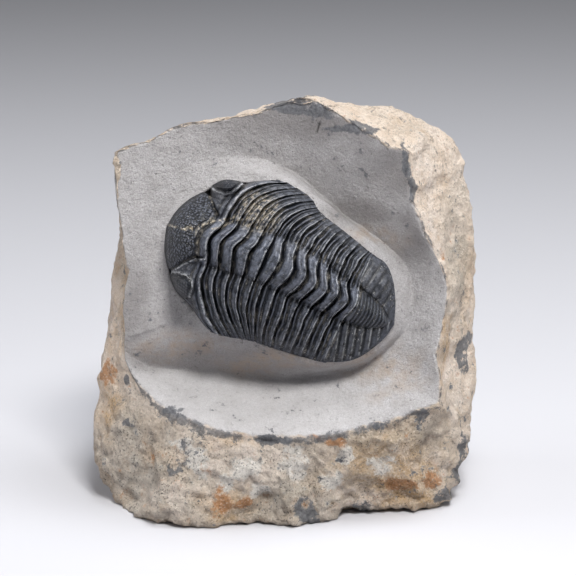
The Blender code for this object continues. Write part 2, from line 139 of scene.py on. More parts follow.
RIM = (
    (117, 151, 0.0), (122, 227, 0.0), (129, 271, 0.0), (125, 332, 0.0), (125, 360, -0.2),
    (139, 384, 1.2), (152, 396, 2.8), (169, 409, 4.5), (192, 419, 6.0), (217, 428, 7.0),
    (258, 434, 8.0), (298, 435, 8.5), (339, 431, 8.0), (370, 423, 7.5), (398, 417, 7.0),
    (417, 410, 6.5), (438, 404, 5.5), (440, 386, 4.5), (435, 354, 4.0), (443, 321, 3.5),
    (447, 286, 3.5), (436, 257, 4.0), (423, 233, 5.0), (411, 201, 6.5), (406, 169, 8.0),
    (408, 152, 9.0), (389, 147, 8.5), (360, 129, 8.0), (325, 107, 7.0), (312, 99, 6.5),
    (289, 103, 4.0), (257, 114, 2.5), (212, 123, 1.0), (188, 125, 0.5), (166, 132, 0.3),
    (149, 142, 0.2), (129, 147, 0.0),
)
SHOULDER = (
    (115, 152, -5), (119, 168, -6), (120, 190, -7), (121, 223, -8), (118, 255, -9),
    (113, 287, -11), (113, 314, -12), (103, 348, -12), (97, 389, -11), (94, 413, -10),
    (95, 456, -8), (107, 483, -7), (111, 496, -8), (121, 507, -6), (133, 517, 0.4),
    (147, 523, 5), (176, 527, 8.4), (208, 527, 8.4), (260, 523, 5), (293, 527, 8.4),
    (308, 523, 5), (330, 522, 4), (349, 515, 1), (385, 512, 0), (409, 509, -1),
    (433, 509, -2), (453, 501, -6), (451, 491, -7), (460, 475, -9), (468, 435, -11),
    (469, 415, -12), (476, 389, -14), (476, 375, -14), (468, 319, -12), (472, 270, -10),
    (472, 205, -10), (464, 175, -10), (466, 162, -9), (455, 140, -8), (440, 127, -7),
    (420, 118, -6), (395, 106, -5), (365, 103, -4), (345, 100, -3), (325, 96, -1),
    (310, 96.5, 2), (289, 101, 0), (257, 112, -1), (233, 117, -2), (188, 123, -3),
    (149, 140, -4), (129, 145, -4),
)
BACK_SIZE = 0.93
BACK_HEIGHT = -35.0
BACK_SPLAY = 6.0
BACK_MIDDLE_HEIGHT = -40.0
BACK_SWELL = 2.0
RIND_SWELL = 1.5
LUMP_SIZE = 11.0
LUMP_HEIGHT = 1.6

# Stations of the block, counted outwards: bed 0 to 2, shelf edge 3, crease 4, then these
RIM_AT, SHOULDER_AT, BACK_AT, LAST_STATION = 5, 6, 7, 8
STATION_BLUR = 0.05
UNDER_BODY = 4.0
FOOT_INSIDE = 1.2
FOOT_RISE = 0.9
FOOT_SHELF = 2.0
FOOT_CREASE = 1.5

# Relief of the block: size of the lumps in millimetres, their seed, how many octaves
BLOCK_LUMPS = {
    "coarse": (4.2, 11, 2), "fine": (1.5, 21, 3), "tooling": (6.0, 31, 3),
    "ridges": (7.0, 81, 3), "gullies": (15.0, 99, 3), "torn": (14.0, 91, 4),
    "clefts": (21.0, 95, 4), "chips": (9.0, 97, 3),
}

# Heights of that relief in millimetres. Coarse, fine and ridges have one for all natural
# faces and one that the lower front adds
NATURAL_HEIGHTS = ((0.20, 0.20), (0.26, 0.34), (0.75, 0.85))
NATURAL_EDGE = (4.98, 5.06)
RIDGE_LEVEL = 0.45
TOOLING_HEIGHT = 0.10
RIM_HEIGHT = 0.25
GULLY_DEPTH = 1.7
TORN_HEIGHT = 1.2
CLEFT_DEPTH = 2.4
CHIP_DEPTH = 2.4
CRACK_DEPTH = 0.45
CRACK_WIDTH = 1.1
NATURAL_SETBACK = 0.25
BACK_SETBACK = 0.7
BOX_INSET = 1.0e-5
BASE_SNAP = 2.0e-5
PATCH_WARP = 9.0
PATCH_WARP_SIZE = 5.0

# Sampling of the finished surfaces
STONE_RAYS = 540
STONE_ROWS = (
    (0.5, 2.0, 5), (2.0, 3.0, 9), (3.0, 4.0, 17), (4.0, 5.0, 46), (5.0, 6.0, 50),
    (6.0, 7.0, 33), (7.0, 7.97, 17),
)
SEGMENT_GRID = (34, 250)
HEAD_GRID = (190, 400)
TAIL_GRID = (120, 260)

# Profiles along one thoracic plate, front to back, as height in millimetres
RING_PROFILE = (
    (0.0, -1.3), (0.1, -1.3), (0.22, -0.75), (0.36, 0.05), (0.52, 0.48), (0.66, 0.6),
    (0.77, 0.48), (0.845, 0.25), (0.9, 0.58), (0.945, 0.56), (1.0, -0.45),
)
RIB_PROFILE = (
    (0.0, -1.1), (0.10, -1.1), (0.20, -0.45), (0.29, 0.12), (0.37, 0.12), (0.46, -0.35),
    (0.54, -0.5), (0.64, -0.05), (0.74, 0.18), (0.82, 0.08), (0.865, 0.06), (0.915, 0.55),
    (0.955, 0.5), (1.0, -0.5),
)

# Share of the way to the upper edge that the axis takes, at each joint line
AXIS_UPPER = (0.29, 0.31, 0.34, 0.37, 0.40, 0.43, 0.44, 0.44, 0.43, 0.39, 0.35, 0.31)

# How far a plate's two sides are moved off their joints towards the tail, in drawing units
PLATE_FRONT = -0.5
PLATE_BACK = 0.1

# Eyes on the body drawing: middle, radii, turn and the line of the lid. Lenses stand
# this far apart, as a share of the radii
EYES = (
    ((-87.0, 52.0), (15.0, 11.5), 0.25,
     ((-101, 43), (-93, 40.5), (-84, 40.5), (-79, 43), (-76, 49), (-75, 59))),
    ((-82.0, -58.5), (14.0, 8.5), -0.3,
     ((-96, -50), (-90, -48.5), (-80, -49.5), (-74, -54), (-70, -61), (-68, -66))),
)
LENS_SPACING = 0.2

# The forehead: a point on each of its two sides with the way inwards, its furrows, and
# its rear edge as x for each y
FOREHEAD_SIDES = (((-103.0, 43.0), (-0.798, -0.603)), ((-99.0, -48.0), (-0.75, 0.66)))
LOWER_FURROW = ((-104, 44), (-95, 30), (-86, 20.5), (-77, 17.5))
UPPER_FURROW = ((-101, -50), (-92, -40), (-84, -31), (-79, -27))
FOREHEAD_REAR = (
    (-34, -80), (-28, -84), (-20, -85), (-12, -91), (-5, -95), (0, -92), (5, -89), (10, -87),
    (20, -86), (30, -85),
)

# Height of the ring and of the border along the head's rear, by the distance from the joint
NECK_PROFILE = (
    (0.0, -0.6), (0.8, 0.3), (2.0, 0.7), (4.5, 0.75), (7.0, 0.5), (8.5, -0.1), (10.0, -0.7),
    (12.0, -0.5), (14.0, 0.0),
)
BORDER_PROFILE = (
    (0.0, -0.8), (0.8, 0.2), (1.8, 0.55), (3.6, 0.5), (5.0, 0.0), (6.0, -0.25), (7.4, 0.2),
    (9.0, 0.1), (11.0, -0.3), (14.0, 0.0),
)

# Heights and depths on the head in millimetres, and the size of its granules
FOREHEAD_SWELL = 1.4
EYE_HEIGHT = 3.45
LID_HEIGHT = 0.6
LID_GROOVE = 1.3
LENS_HEIGHT = 0.2
FURROW_DEPTH = 0.75
BROW_HEIGHT = 0.3
GRANULE_SIZE = 0.58
GRANULE_REACH = 0.62
GRANULE_HEIGHT = 0.30
CHEEK_GRANULES = 0.07

# The hollow behind the upper eye, and the notches in the head's edge: middle, way, depth
BEHIND_EYE = ((-74, -54), (-70, -61), (-68, -66))
BEHIND_DEPTH = 1.3
NOTCH_FLOOR = 2.4
NOTCH_WIDTH = 3.2
NOTCHES = (
    ((-99, -48), (0.66, 0.75), 7.5), ((-103.5, 44), (0.8, -0.6), 3.5),
    ((-66, -68.5), (0.1, 0.99), 2.8),
)

# The tail: middle, half length and half width of its axis, its rings, and its fan of ribs
TAIL_AXIS = (66.0, 52.5, 19.0)
RING_START, RING_SPACING = 82.0, 3.7
RIB_START, RIB_SPACING = 91.4, 8.3
FAN_SLOPE = 0.22
TAIL_GROOVE = 0.42
AXIS_FURROW = 0.28
TAIL_SWELLING = ((91.0, -26.0), (20.0, 19.0), 0.3)

# Mineral on the shell: a vein and its branches, and a rough patch, on the body drawing
VEIN_LINES = (
    (((-125, 1), (-110, -1), (-103, -2), (-98, -6), (-92, -11), (-85, -16), (-80, -20)), 1.3),
    (((-82, -19), (-75, -23), (-66, -29), (-56, -38)), 1.5),
    (((-79, -12), (-72, -17), (-64, -26), (-54, -33)), 1.2),
    (((-103, -3), (-100, -6), (-97, -5)), 2.4),
)
PATCH_MIDDLE = (-42.0, -45.0)
PATCH_SIZE = (27.0, 24.0)

# Patches on the block, each kind with the softness of its edge: middle x and y, half
# width and half height, all on the drawing
PATCHES = {
    "rust": (0.45, (
        (223, 500, 11, 17), (246, 500, 8, 8), (328, 437, 18, 6), (402, 484, 17, 13),
        (107, 372, 5, 16), (430, 478, 10, 14),
    )),
    "broken": (0.3, (
        (469, 352, 6, 24), (462, 455, 7, 26), (272, 442, 20, 6), (382, 428, 9, 5),
        (305, 511, 9, 11), (362, 507, 12, 6), (127, 426, 5, 6), (300, 108, 34, 10),
        (352, 128, 28, 7), (176, 412, 14, 4), (129, 384, 4, 9), (409, 172, 5, 30),
        (442, 498, 12, 8),
    )),
    "pale": (0.5, (
        (200, 462, 13, 15), (292, 465, 12, 17), (395, 376, 8, 6), (330, 480, 10, 12),
        (262, 490, 12, 10), (250, 468, 18, 9), (345, 452, 12, 12), (384, 462, 16, 9),
        (225, 478, 9, 8), (186, 448, 14, 6),
    )),
    "grey": (0.8, (
        (150, 470, 44, 42), (128, 425, 20, 34), (300, 500, 30, 14), (458, 250, 10, 60),
        (222, 516, 60, 8), (420, 440, 24, 14),
    )),
    "light": (0.8, (
        (245, 458, 60, 26), (205, 440, 34, 14), (185, 500, 34, 20), (330, 460, 18, 26),
        (430, 200, 12, 60), (108, 330, 8, 50), (360, 500, 44, 14), (424, 468, 26, 26),
        (455, 380, 10, 60),
    )),
    "ochre": (0.8, (
        (385, 468, 46, 34), (404, 500, 40, 12), (106, 416, 8, 28), (232, 505, 28, 20),
        (448, 352, 6, 30), (120, 300, 5, 40), (240, 440, 26, 8),
    )),
    # painted shade: these patches darken the walls of the hollow above and below the body, where
    # the face turns from the lights
    "painted_shade": (0.7, (
        (300, 120, 100, 22), (404, 165, 32, 30), (354, 213, 28, 12), (418, 240, 16, 20),
        (240, 358, 104, 17), (130, 310, 16, 44),
    )),
    "stain": (0.6, (
        (385, 368, 40, 24), (300, 356, 44, 10), (178, 346, 42, 14), (250, 362, 34, 9),
        (372, 240, 30, 10),
    )),
}
PREPARED_PATCHES = ("painted_shade", "stain")

# Cracks in the stone, on the drawing, each with its depth
CRACKS = (
    (((340, 96), (334, 104), (326, 108), (322, 115), (319, 124), (316, 133)), 1.0),
    (((318, 436), (315, 450), (317, 468), (314, 484), (316, 505)), 0.6),
)

# Colours, linear
FACE_GREY = (0.56, 0.545, 0.55)
FACE_SAND = (0.37, 0.355, 0.36)
RIND_CREAM = (0.90, 0.78, 0.67)
RIND_TAN = (0.78, 0.63, 0.50)
RIND_KHAKI = (0.54, 0.455, 0.37)
RIND_PALE = (0.82, 0.72, 0.62)
BROKEN_GREY = (0.12, 0.125, 0.14)
BROKEN_PALE = (0.20, 0.205, 0.22)
SHELL_DARK = (0.006, 0.007, 0.010)
# ridges greyer than the blue-black grooves: partly the shell's wear, partly painted highlight on
# the ridges and painted shade in the grooves
SHELL_CREST = (0.125, 0.137, 0.174)
# painted light: the lighter shell colour of the upper flank, which faces the lights
SHELL_PAINTED_LIGHT = (0.27, 0.28, 0.32)
# painted highlight: lighter tips of the granules and lenses
SHELL_TIP_HIGHLIGHT = (0.080, 0.087, 0.110)
# plate edges, lids and brow lighter: partly wear, partly a painted highlight
SHELL_EDGE_WEAR_HIGHLIGHT = (0.42, 0.43, 0.45)
SHELL_DUST = (0.36, 0.33, 0.29)
SHELL_FLECK = (0.38, 0.37, 0.36)
VEIN_OCHRE = (0.25, 0.20, 0.13)
VEIN_CREAM = (0.52, 0.48, 0.41)
FLOOR_GREY = (0.56, 0.56, 0.59)
SKY_GREY = (0.80, 0.82, 0.86)

# Noises of the finishes: cells per metre, detail, roughness
STONE_NOISES = {
    "cloud": (55.0, 3.0, 0.55), "mottle": (260.0, 6.0, 0.65), "grain": (1500.0, 4.0, 0.7),
    "sand": (4300.0, 2.0, 0.6), "speck": (1300.0, 2.0, 0.6), "pitting": (620.0, 5.0, 0.75),
    "patina": (24.0, 5.0, 0.6), "film": (95.0, 6.0, 0.68), "dots": (2300.0, 2.0, 0.5),
    "dense": (130.0, 4.0, 0.6), "scar": (62.0, 7.0, 0.66),
}
SHELL_NOISES = {
    "mottle": (420.0, 4.0, 0.6), "fine": (2600.0, 3.0, 0.6), "streak": (1100.0, 4.0, 0.65),
    "fleck": (3400.0, 2.0, 0.5),
}

# Coats of colour, each over the one before: the pattern it follows, the pattern's values
# where it starts and where it is full, how strong it is then, and its colour
FACE_COATS = (
    ("mottle", 0.40, 0.66, 0.55, (0.33, 0.31, 0.305)),
    ("grain", 0.56, 0.70, 0.45, (0.24, 0.225, 0.22)),
    ("grain", 0.40, 0.30, 0.5, (0.62, 0.61, 0.61)),
    ("speck", 0.66, 0.71, 0.7, (0.20, 0.19, 0.19)),
    # painted shade: the dark coat over the patches on the walls of the hollow
    ("painted_shade", 0.0, 1.0, 0.55, (0.20, 0.185, 0.18)),
    # painted light: a paler coat on the shelf below the body
    ("ledge_lit_painted", 0.0, 1.0, 0.26, (0.92, 0.905, 0.92)),
    ("stain", 0.0, 1.0, 0.45, (0.50, 0.37, 0.26)),
)
RIND_COATS = (
    ("cloud", 0.50, 0.66, 0.5, (0.72, 0.53, 0.36)),
    ("patina", 0.50, 0.62, 0.45, (0.46, 0.405, 0.335)),
    ("patina", 0.46, 0.36, 0.5, (0.84, 0.74, 0.65)),
    ("film", 0.60, 0.68, 0.55, (0.60, 0.39, 0.21)),
    ("grey", 0.0, 1.0, 0.6, (0.40, 0.38, 0.335)),
    ("light", 0.0, 1.0, 0.8, (0.92, 0.81, 0.73)),
    ("ochre", 0.0, 1.0, 0.75, (0.64, 0.40, 0.18)),
    ("pale", 0.45, 0.85, 0.9, (0.82, 0.78, 0.73)),
    ("rust", 0.45, 0.95, 0.85, (0.52, 0.24, 0.09)),
    ("sand", 0.35, 0.68, 0.20, (0.20, 0.17, 0.14)),
    ("pitting", 0.57, 0.68, 0.7, (0.11, 0.095, 0.085)),
    ("pits", 0.0, 1.0, 1.0, (0.07, 0.06, 0.055)),
    ("dots", 0.40, 0.33, 0.45, (0.88, 0.81, 0.73)),
    ("grain", 0.38, 0.28, 0.6, (0.74, 0.69, 0.62)),
)
CRACK_COAT = ("crack", 0.35, 0.9, 0.85, (0.06, 0.055, 0.055))

# Lights: name, place, side, power, colour
LIGHT_TARGET = (0.0, 0.0, 0.04)
LIGHTS = (
    ("front_overhead", (0.10, -0.38, 0.56), 0.17, 4.55, (1.0, 0.99, 0.97)),
    ("overhead", (0.14, 0.02, 0.66), 0.36, 3.2, (0.95, 0.97, 1.0)),
    ("left_fill", (-0.62, 0.04, 0.36), 0.4, 2.2, (0.98, 0.98, 1.0)),
    ("right_fill", (0.64, -0.12, 0.30), 0.4, 1.3, (1.0, 0.99, 0.98)),
)
SKY_STRENGTH = 0.09
PICTURE_UNITS = 576.0
SENSOR_WIDTH = 36.0
FLOOR_REACH = 4.0


def place(x, y, height):
    """World point of a drawing point: the drawing is scaled towards the eye as it rises,
    then leaned back about the face's level line."""
    lift = height * MM
    scale = UNIT * (1.0 - lift / VIEW_DISTANCE)
    across = (x - FACE_MIDDLE[0]) * scale
    up = (FACE_MIDDLE[1] - y) * scale
    sine = math.sin(FACE_LEAN)
    cosine = math.cos(FACE_LEAN)
    return np.stack([
        FACE_ORIGIN[0] + across,
        FACE_ORIGIN[1] + up * sine - lift * cosine,
        FACE_ORIGIN[2] + up * cosine + lift * sine,
    ], axis=-1)


def body_to_drawing(x, y):
    """Turn body axes into drawing axes."""
    cosine = math.cos(BODY_TURN)
    sine = math.sin(BODY_TURN)
    return (BODY_MIDDLE[0] + x * cosine - y * sine, BODY_MIDDLE[1] + x * sine + y * cosine)


def unit(value):
    """Values cut to 0..1."""
    return np.clip(value, 0.0, 1.0)


def rise(low, high, value):
    """From 0 to 1 between two values, with level ends."""
    t = unit((value - low) / (high - low))
    return t * t * (3.0 - 2.0 * t)


def fall(low, high, value):
    """From 1 to 0 between two values, with level ends."""
    return 1.0 - rise(low, high, value)


def along(points, x):
    """The y of a broken line at x."""
    table = np.array(points, float)
    return np.interp(x, table[:, 0], table[:, 1])


def lattice_value(cell, seed):
    """A fixed pseudo-random number in 0..1 for each whole-number cell."""
    mixed = np.sin(cell @ np.array([12.9898, 78.233, 37.719]) + seed * 11.3) * 43758.5453
    return mixed - np.floor(mixed)


def lumps(points, size, seed):
    """Value noise in -1..1: lattice values blended smoothly over cells of the given size."""
    scaled = points.reshape(-1, 3) / size
    cell = np.floor(scaled)
    part = scaled - cell
    part = part * part * (3.0 - 2.0 * part)
    total = 0.0
    for corner in np.ndindex(2, 2, 2):
        corner = np.array(corner, float)
        weight = np.prod(np.where(corner > 0, part, 1.0 - part), axis=1)
        total = total + weight * lattice_value(cell + corner, seed)
    return (2.0 * total - 1.0).reshape(points.shape[:-1])


def fractal(points, size, seed, octaves):
    """Lumps of several sizes added up, each half as large and half as high as the last."""
    return sum(lumps(points, size / 2.0 ** octave, seed + octave) / 2.0 ** octave
               for octave in range(octaves))


def in_millimetres(x, y, height=0.0):
    """Points for the noise: drawing points and their height, all in millimetres."""
    return np.stack([x * UNIT / MM, y * UNIT / MM, height + 0.0 * x], axis=-1)


def polar(points, theta):
    """Radius and height of a closed outline in the directions theta about the body's middle."""
    table = np.array(points, float)
    across = table[:, 0] - BODY_MIDDLE[0]
    down = table[:, 1] - BODY_MIDDLE[1]
    angle = np.arctan2(-down, across)
    order = np.argsort(angle)
    angle = angle[order]
    radius = np.hypot(across, down)[order]
    angle = np.concatenate([angle - 2 * math.pi, angle, angle + 2 * math.pi])
    found = [np.interp(theta, angle, np.tile(radius, 3))]
    if table.shape[1] > 2:
        found.append(np.interp(theta, angle, np.tile(table[order, 2], 3)))
    return found


def body_outline():
    """The body's outline on the drawing, head first and round again."""
    upper = list(UPPER_EDGE)
    lower = list(LOWER_EDGE)[-2:0:-1]
    return [body_to_drawing(x, y) for x, y in upper + lower]


def joint_sweep(index, out, shape):
    """How far back a joint runs at a share of the way out, and the x of its end on the
    body's edge, from the joint's own x."""
    far, fades_at, steepness, rest, power, moved = shape
    end = far * math.exp(-((index / fades_at) ** steepness)) + rest
    return end * out ** power, moved + end


def joint_line(index, across):
    """Where two plates meet, for across from -1 at the upper edge to 1 at the lower one.

    Beside the axis the line is straight; on the axis it bows forward on the front plates
    and back on the rear ones; past the bend of the ribs it sweeps back to the edge.
    """
    base = JOINT_LINES[index]
    out = unit((np.abs(across) - AXIS_SHARE) / (1.0 - AXIS_SHARE))
    sweep_lower, end_lower = joint_sweep(index, out, SWEEP_LOWER)
    sweep_upper, end_upper = joint_sweep(index, out, SWEEP_UPPER)
    middle = along(MIDDLE_LINE, base)
    reach_lower = along(LOWER_EDGE, base + end_lower) - middle
    reach_upper = middle - along(UPPER_EDGE, base + end_upper)
    y = middle + np.where(across > 0, across * reach_lower, across * reach_upper)
    sweep = np.where(across > 0, sweep_lower, sweep_upper)
    bow = JOINT_BOW * math.tanh((index - BOW_TURNS_AT) / BOW_TURNS_OVER)
    bow = bow * fall(0.0, AXIS_SHARE * 1.15, np.abs(across))
    return base + JOINT_SKEW * y + sweep + bow, y


def shifted(x, y, distance):
    """Move a line sideways in its own plane, towards the tail for a positive distance."""
    slope_x = np.gradient(x)
    slope_y = np.gradient(y)
    length = np.hypot(slope_x, slope_y)
    return x + distance * slope_y / length, y - distance * slope_x / length


def edge_curve(upper, lower, v):
    """A stretch of the outline, by its own length, from v = -1 at the upper side point
    through the end of the body to v = 1 at the lower one."""
    def branch(points, share):
        table = np.array(points, float)
        run = np.concatenate([[0.0], np.cumsum(np.hypot(*np.diff(table, axis=0).T))])
        run = run / run[-1]
        return np.interp(share, run, table[:, 0]), np.interp(share, run, table[:, 1])
    upper_x, upper_y = branch(upper, unit(-v))
    lower_x, lower_y = branch(lower, unit(v))
    return np.where(v < 0, upper_x, lower_x), np.where(v < 0, upper_y, lower_y)


def front_edge(v):
    """The head's free edge, from the upper cheek corner round the nose to the lower one."""
    upper = [NOSE_TIP] + [p for p in UPPER_EDGE if p[0] < HEAD_SIDE_UPPER[0]]
    lower = [NOSE_TIP] + [p for p in LOWER_EDGE if p[0] < HEAD_SIDE[0]]
    return edge_curve(upper + [HEAD_SIDE_UPPER], lower + [HEAD_SIDE], v)


def rear_edge(v):
    """The tail's free edge, from the upper side corner round the end to the lower one."""
    upper = [TAIL_TIP] + [p for p in UPPER_EDGE[::-1] if TAIL_END > p[0] > TAIL_SIDE_UPPER[0]]
    lower = [TAIL_TIP] + [p for p in LOWER_EDGE[::-1] if TAIL_END > p[0] > TAIL_SIDE[0]]
    return edge_curve(upper + [TAIL_SIDE_UPPER], lower + [TAIL_SIDE], v)


def ellipse_axes(x, y, centre, radii, turn):
    """Position along a turned ellipse's two axes, as shares of its radii."""
    dx = x - centre[0]
    dy = y - centre[1]
    cosine = math.cos(turn)
    sine = math.sin(turn)
    return (dx * cosine + dy * sine) / radii[0], (dy * cosine - dx * sine) / radii[1]


def bump(x, y, centre, radii, turn):
    """A rounded knoll over an ellipse on the body drawing: 1 in the middle, 0 outside."""
    a, b = ellipse_axes(x, y, centre, radii, turn)
    inside = unit(1.0 - a * a - b * b)
    return inside * (2.0 - inside)


def bell(value, middle, width):
    """1 at the middle, fading on both sides like a bell over the width."""
    return np.exp(-((value - middle) / width) ** 2)


def cut_corners(points, rounds):
    """A broken line with its corners cut to a quarter, again and again, ends kept."""
    line = np.array(points, float)
    for _ in range(rounds):
        near = 0.75 * line[:-1] + 0.25 * line[1:]
        far = 0.25 * line[:-1] + 0.75 * line[1:]
        pairs = np.stack([near, far], axis=1).reshape(-1, 2)
        line = np.concatenate([line[:1], pairs[1:-1], line[-1:]])
    return [tuple(point) for point in line.tolist()]


UPPER_EDGE = cut_corners(UPPER_TRACE, CORNER_ROUNDS)
LOWER_EDGE = cut_corners(LOWER_TRACE, CORNER_ROUNDS)


def joint_wave(index, across):
    """How far a joint wavers along the body, in drawing units."""
    spot = np.stack([across * 6.0, 0.0 * across + 3.7 * index, 0.0 * across], axis=-1)
    calm = fall(0.85, 1.0, np.abs(across))
    return JOINT_WAVER * fractal(spot, 1.0, 57, 2) * calm


def granules(points, size, seed):
    """Distance from each point to the nearest of a set of scattered seeds, one in each
    cell of the given size, as a share of that size."""
    scaled = points.reshape(-1, 3) / size
    cell = np.floor(scaled)
    nearest = np.full(len(scaled), 9.0)
    for step in np.ndindex(3, 3, 3):
        corner = cell + np.array(step, float) - 1.0
        spot = [corner[:, axis] + 0.15 + 0.7 * lattice_value(corner, seed + axis)
                for axis in range(3)]
        gap = scaled - np.stack(spot, axis=-1)
        nearest = np.minimum(nearest, np.sum(gap * gap, axis=1))
    return np.sqrt(nearest).reshape(points.shape[:-1])


def rounded(table, place_on):
    """A polyline's height at a place, averaged over a short run so its corners are round."""
    points = np.array(table)
    total = 0.0
    for shift in (-0.03, -0.015, 0.0, 0.015, 0.03):
        total = total + np.interp(place_on + shift, points[:, 0], points[:, 1])
    return total / 5.0


def ellipses(x, y, patches, soft):
    """How far a drawing point lies inside any of the patches: 1 inside, 0 outside."""
    inside = np.zeros_like(x)
    for cx, cy, rx, ry in patches:
        away = np.hypot((x - cx) / rx, (y - cy) / ry)
        inside = np.maximum(inside, fall(1.0 - soft, 1.0 + soft, away))
    return inside


def outward(grid):
    """Unit normals of a grid of points, rows running outwards and columns running round."""
    run = np.gradient(grid, axis=0)
    turn = np.roll(grid, -1, axis=1) - np.roll(grid, 1, axis=1)
    normal = np.cross(run, turn)
    return normal / np.maximum(np.linalg.norm(normal, axis=2, keepdims=True), 1e-12)


def build_mesh(name, points, faces, values):
    """A smooth mesh from points and faces, with one float attribute for each value."""
    mesh = bpy.data.meshes.new(name)
    mesh.from_pydata(points.tolist(), [], faces)
    for key, value in values.items():
        layer = mesh.attributes.new(key, "FLOAT", "POINT")
        layer.data.foreach_set("value", np.ascontiguousarray(value, np.float32))
    mesh.update()
    mesh.shade_smooth()
    piece = bpy.data.objects.new(name, mesh)
    bpy.context.scene.collection.objects.link(piece)
    return piece


def finish_piece(piece, node, material):
    """Give a piece its material, hang it under the root body and hide the solid it stands for."""
    piece.data.materials.append(material)
    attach(piece, "root")
    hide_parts(node)
    return piece


def carried(levels, stations):
    """Outlines or heights between the stations, averaged over a short run so that the
    corners between two stretches come out round."""
    total = 0.0
    for shift in np.linspace(-STATION_BLUR, STATION_BLUR, 5):
        spot = np.clip(stations + shift, 0.0, LAST_STATION)
        low = np.minimum(spot.astype(int), LAST_STATION - 1)
        part = (spot - low)[:, None]
        total = total + levels[low] * (1.0 - part) + levels[low + 1] * part
    return total / 5.0


def block_levels(theta):
    """Radius and height of the nine stations of the block in the directions theta."""
    foot = polar(body_outline(), theta)[0]
    shelf_radius, shelf_height = polar(SHELF_EDGE, theta)
    crease_radius, crease_height = polar(CREASE, theta)
    rim_radius, rim_height = polar(RIM, theta)
    shoulder_radius, shoulder_height = polar(SHOULDER, theta)
    shelf_radius = np.maximum(shelf_radius, foot + FOOT_SHELF)
    crease_radius = np.maximum(crease_radius, shelf_radius + FOOT_CREASE)
    turns = np.linspace(-0.35, 0.35, 15)
    back_radius = np.mean([polar(SHOULDER, theta + turn)[0] for turn in turns], axis=0)
    flat = np.ones_like(foot)
    radii = np.stack([
        0.0 * flat, foot - UNDER_BODY, foot - FOOT_INSIDE, shelf_radius, crease_radius, rim_radius,
        shoulder_radius, back_radius * BACK_SIZE, 0.0 * flat,
    ])
    heights = np.stack([
        BED_HEIGHT * flat, BED_HEIGHT * flat, shelf_height + FOOT_RISE, shelf_height,
        crease_height, rim_height, shoulder_height,
        BACK_HEIGHT + BACK_SPLAY * np.sin(theta), BACK_MIDDLE_HEIGHT * flat,
    ])
    return radii, heights


def block_relief(wide, rough, crack, low_front):
    """Relief of the block in millimetres: ridges, lumps and gullies on the natural faces,
    more of them on the lower front, tool marks on the prepared face, chips along the edge
    of the back and broken hollows on the back."""
    natural = rise(*NATURAL_EDGE, wide)
    band = np.floor(wide)
    between = np.where(band == RIM_AT, np.sin(math.pi * (wide - band)) ** 2, 0.0)
    shapes = (rough["coarse"], rough["fine"], RIDGE_LEVEL - np.abs(rough["ridges"]))
    relief = sum(natural * (everywhere + in_front * low_front) * shape
                 for (everywhere, in_front), shape in zip(NATURAL_HEIGHTS, shapes))
    relief = relief + RIM_HEIGHT * bell(wide, RIM_AT, 0.05) * rough["fine"]
    relief = relief - GULLY_DEPTH * between * np.abs(rough["gullies"])
    tooled = (1.0 - natural) * rise(2.6, 3.4, wide)
    relief = relief + TOOLING_HEIGHT * tooled * rough["tooling"]
    torn = TORN_HEIGHT * rough["torn"] - CLEFT_DEPTH * np.abs(rough["clefts"])
    relief = relief + rise(6.3, 6.9, wide) * (torn - BACK_SETBACK)
    chips = bell(wide, BACK_AT - 0.03, 0.12) * np.abs(rough["chips"])
    return relief - NATURAL_SETBACK * natural - CRACK_DEPTH * crack - CHIP_DEPTH * chips


def block_values(x, y, wide, spot, rough, crack, low_front, seen):
    """Attributes of the block: its natural faces, their cream parts, the dark line under
    the rim, the cracks, painted light on the shelf below the body, and the patches of each
    kind with warped edges, painted shade among them."""
    natural = rise(*NATURAL_EDGE, wide)
    low = rise(385.0, 400.0, y)
    # painted light: the shelf that faces up below the body is made paler, less so towards the
    # right
    ledge_lit_painted = rise(3.9, 4.15, wide) * rise(364.0, 378.0, y)
    values = {
        "natural": rise(4.99, 5.03, wide + 0.03 * rough["fine"]),
        "cream": 1.0 - low_front * fall(430.0, 455.0, x),
        "rim": bell(wide, 5.035 + 0.015 * low, 0.03 + 0.035 * low),
        "crack": crack,
        "ledge_lit_painted": ledge_lit_painted * (1.0 - natural) * fall(320.0, 420.0, x),
    }
    warp_x = x + PATCH_WARP * lumps(spot, PATCH_WARP_SIZE, 41)
    warp_y = y + PATCH_WARP * lumps(spot, PATCH_WARP_SIZE, 42)
    for name, (soft, patches) in PATCHES.items():
        shown = 1.0 - natural if name in PREPARED_PATCHES else seen
        values[name] = ellipses(warp_x, warp_y, patches, soft) * shown
    return values


def block_faces(rows, columns):
    """Faces of the block: quads between its rings, which close on themselves, and a fan at
    each end round the two points that follow the grid."""
    grid = np.arange(rows * columns).reshape(rows, columns)
    after = np.roll(grid, -1, axis=1)
    quads = np.stack([grid[:-1], grid[1:], after[1:], after[:-1]], axis=-1).reshape(-1, 4)
    front = np.full(columns, rows * columns)
    fans = np.stack([front, grid[0], after[0]], axis=-1)
    tails = np.stack([front + 1, after[-1], grid[-1]], axis=-1)
    return quads.tolist() + fans.tolist() + tails.tolist()


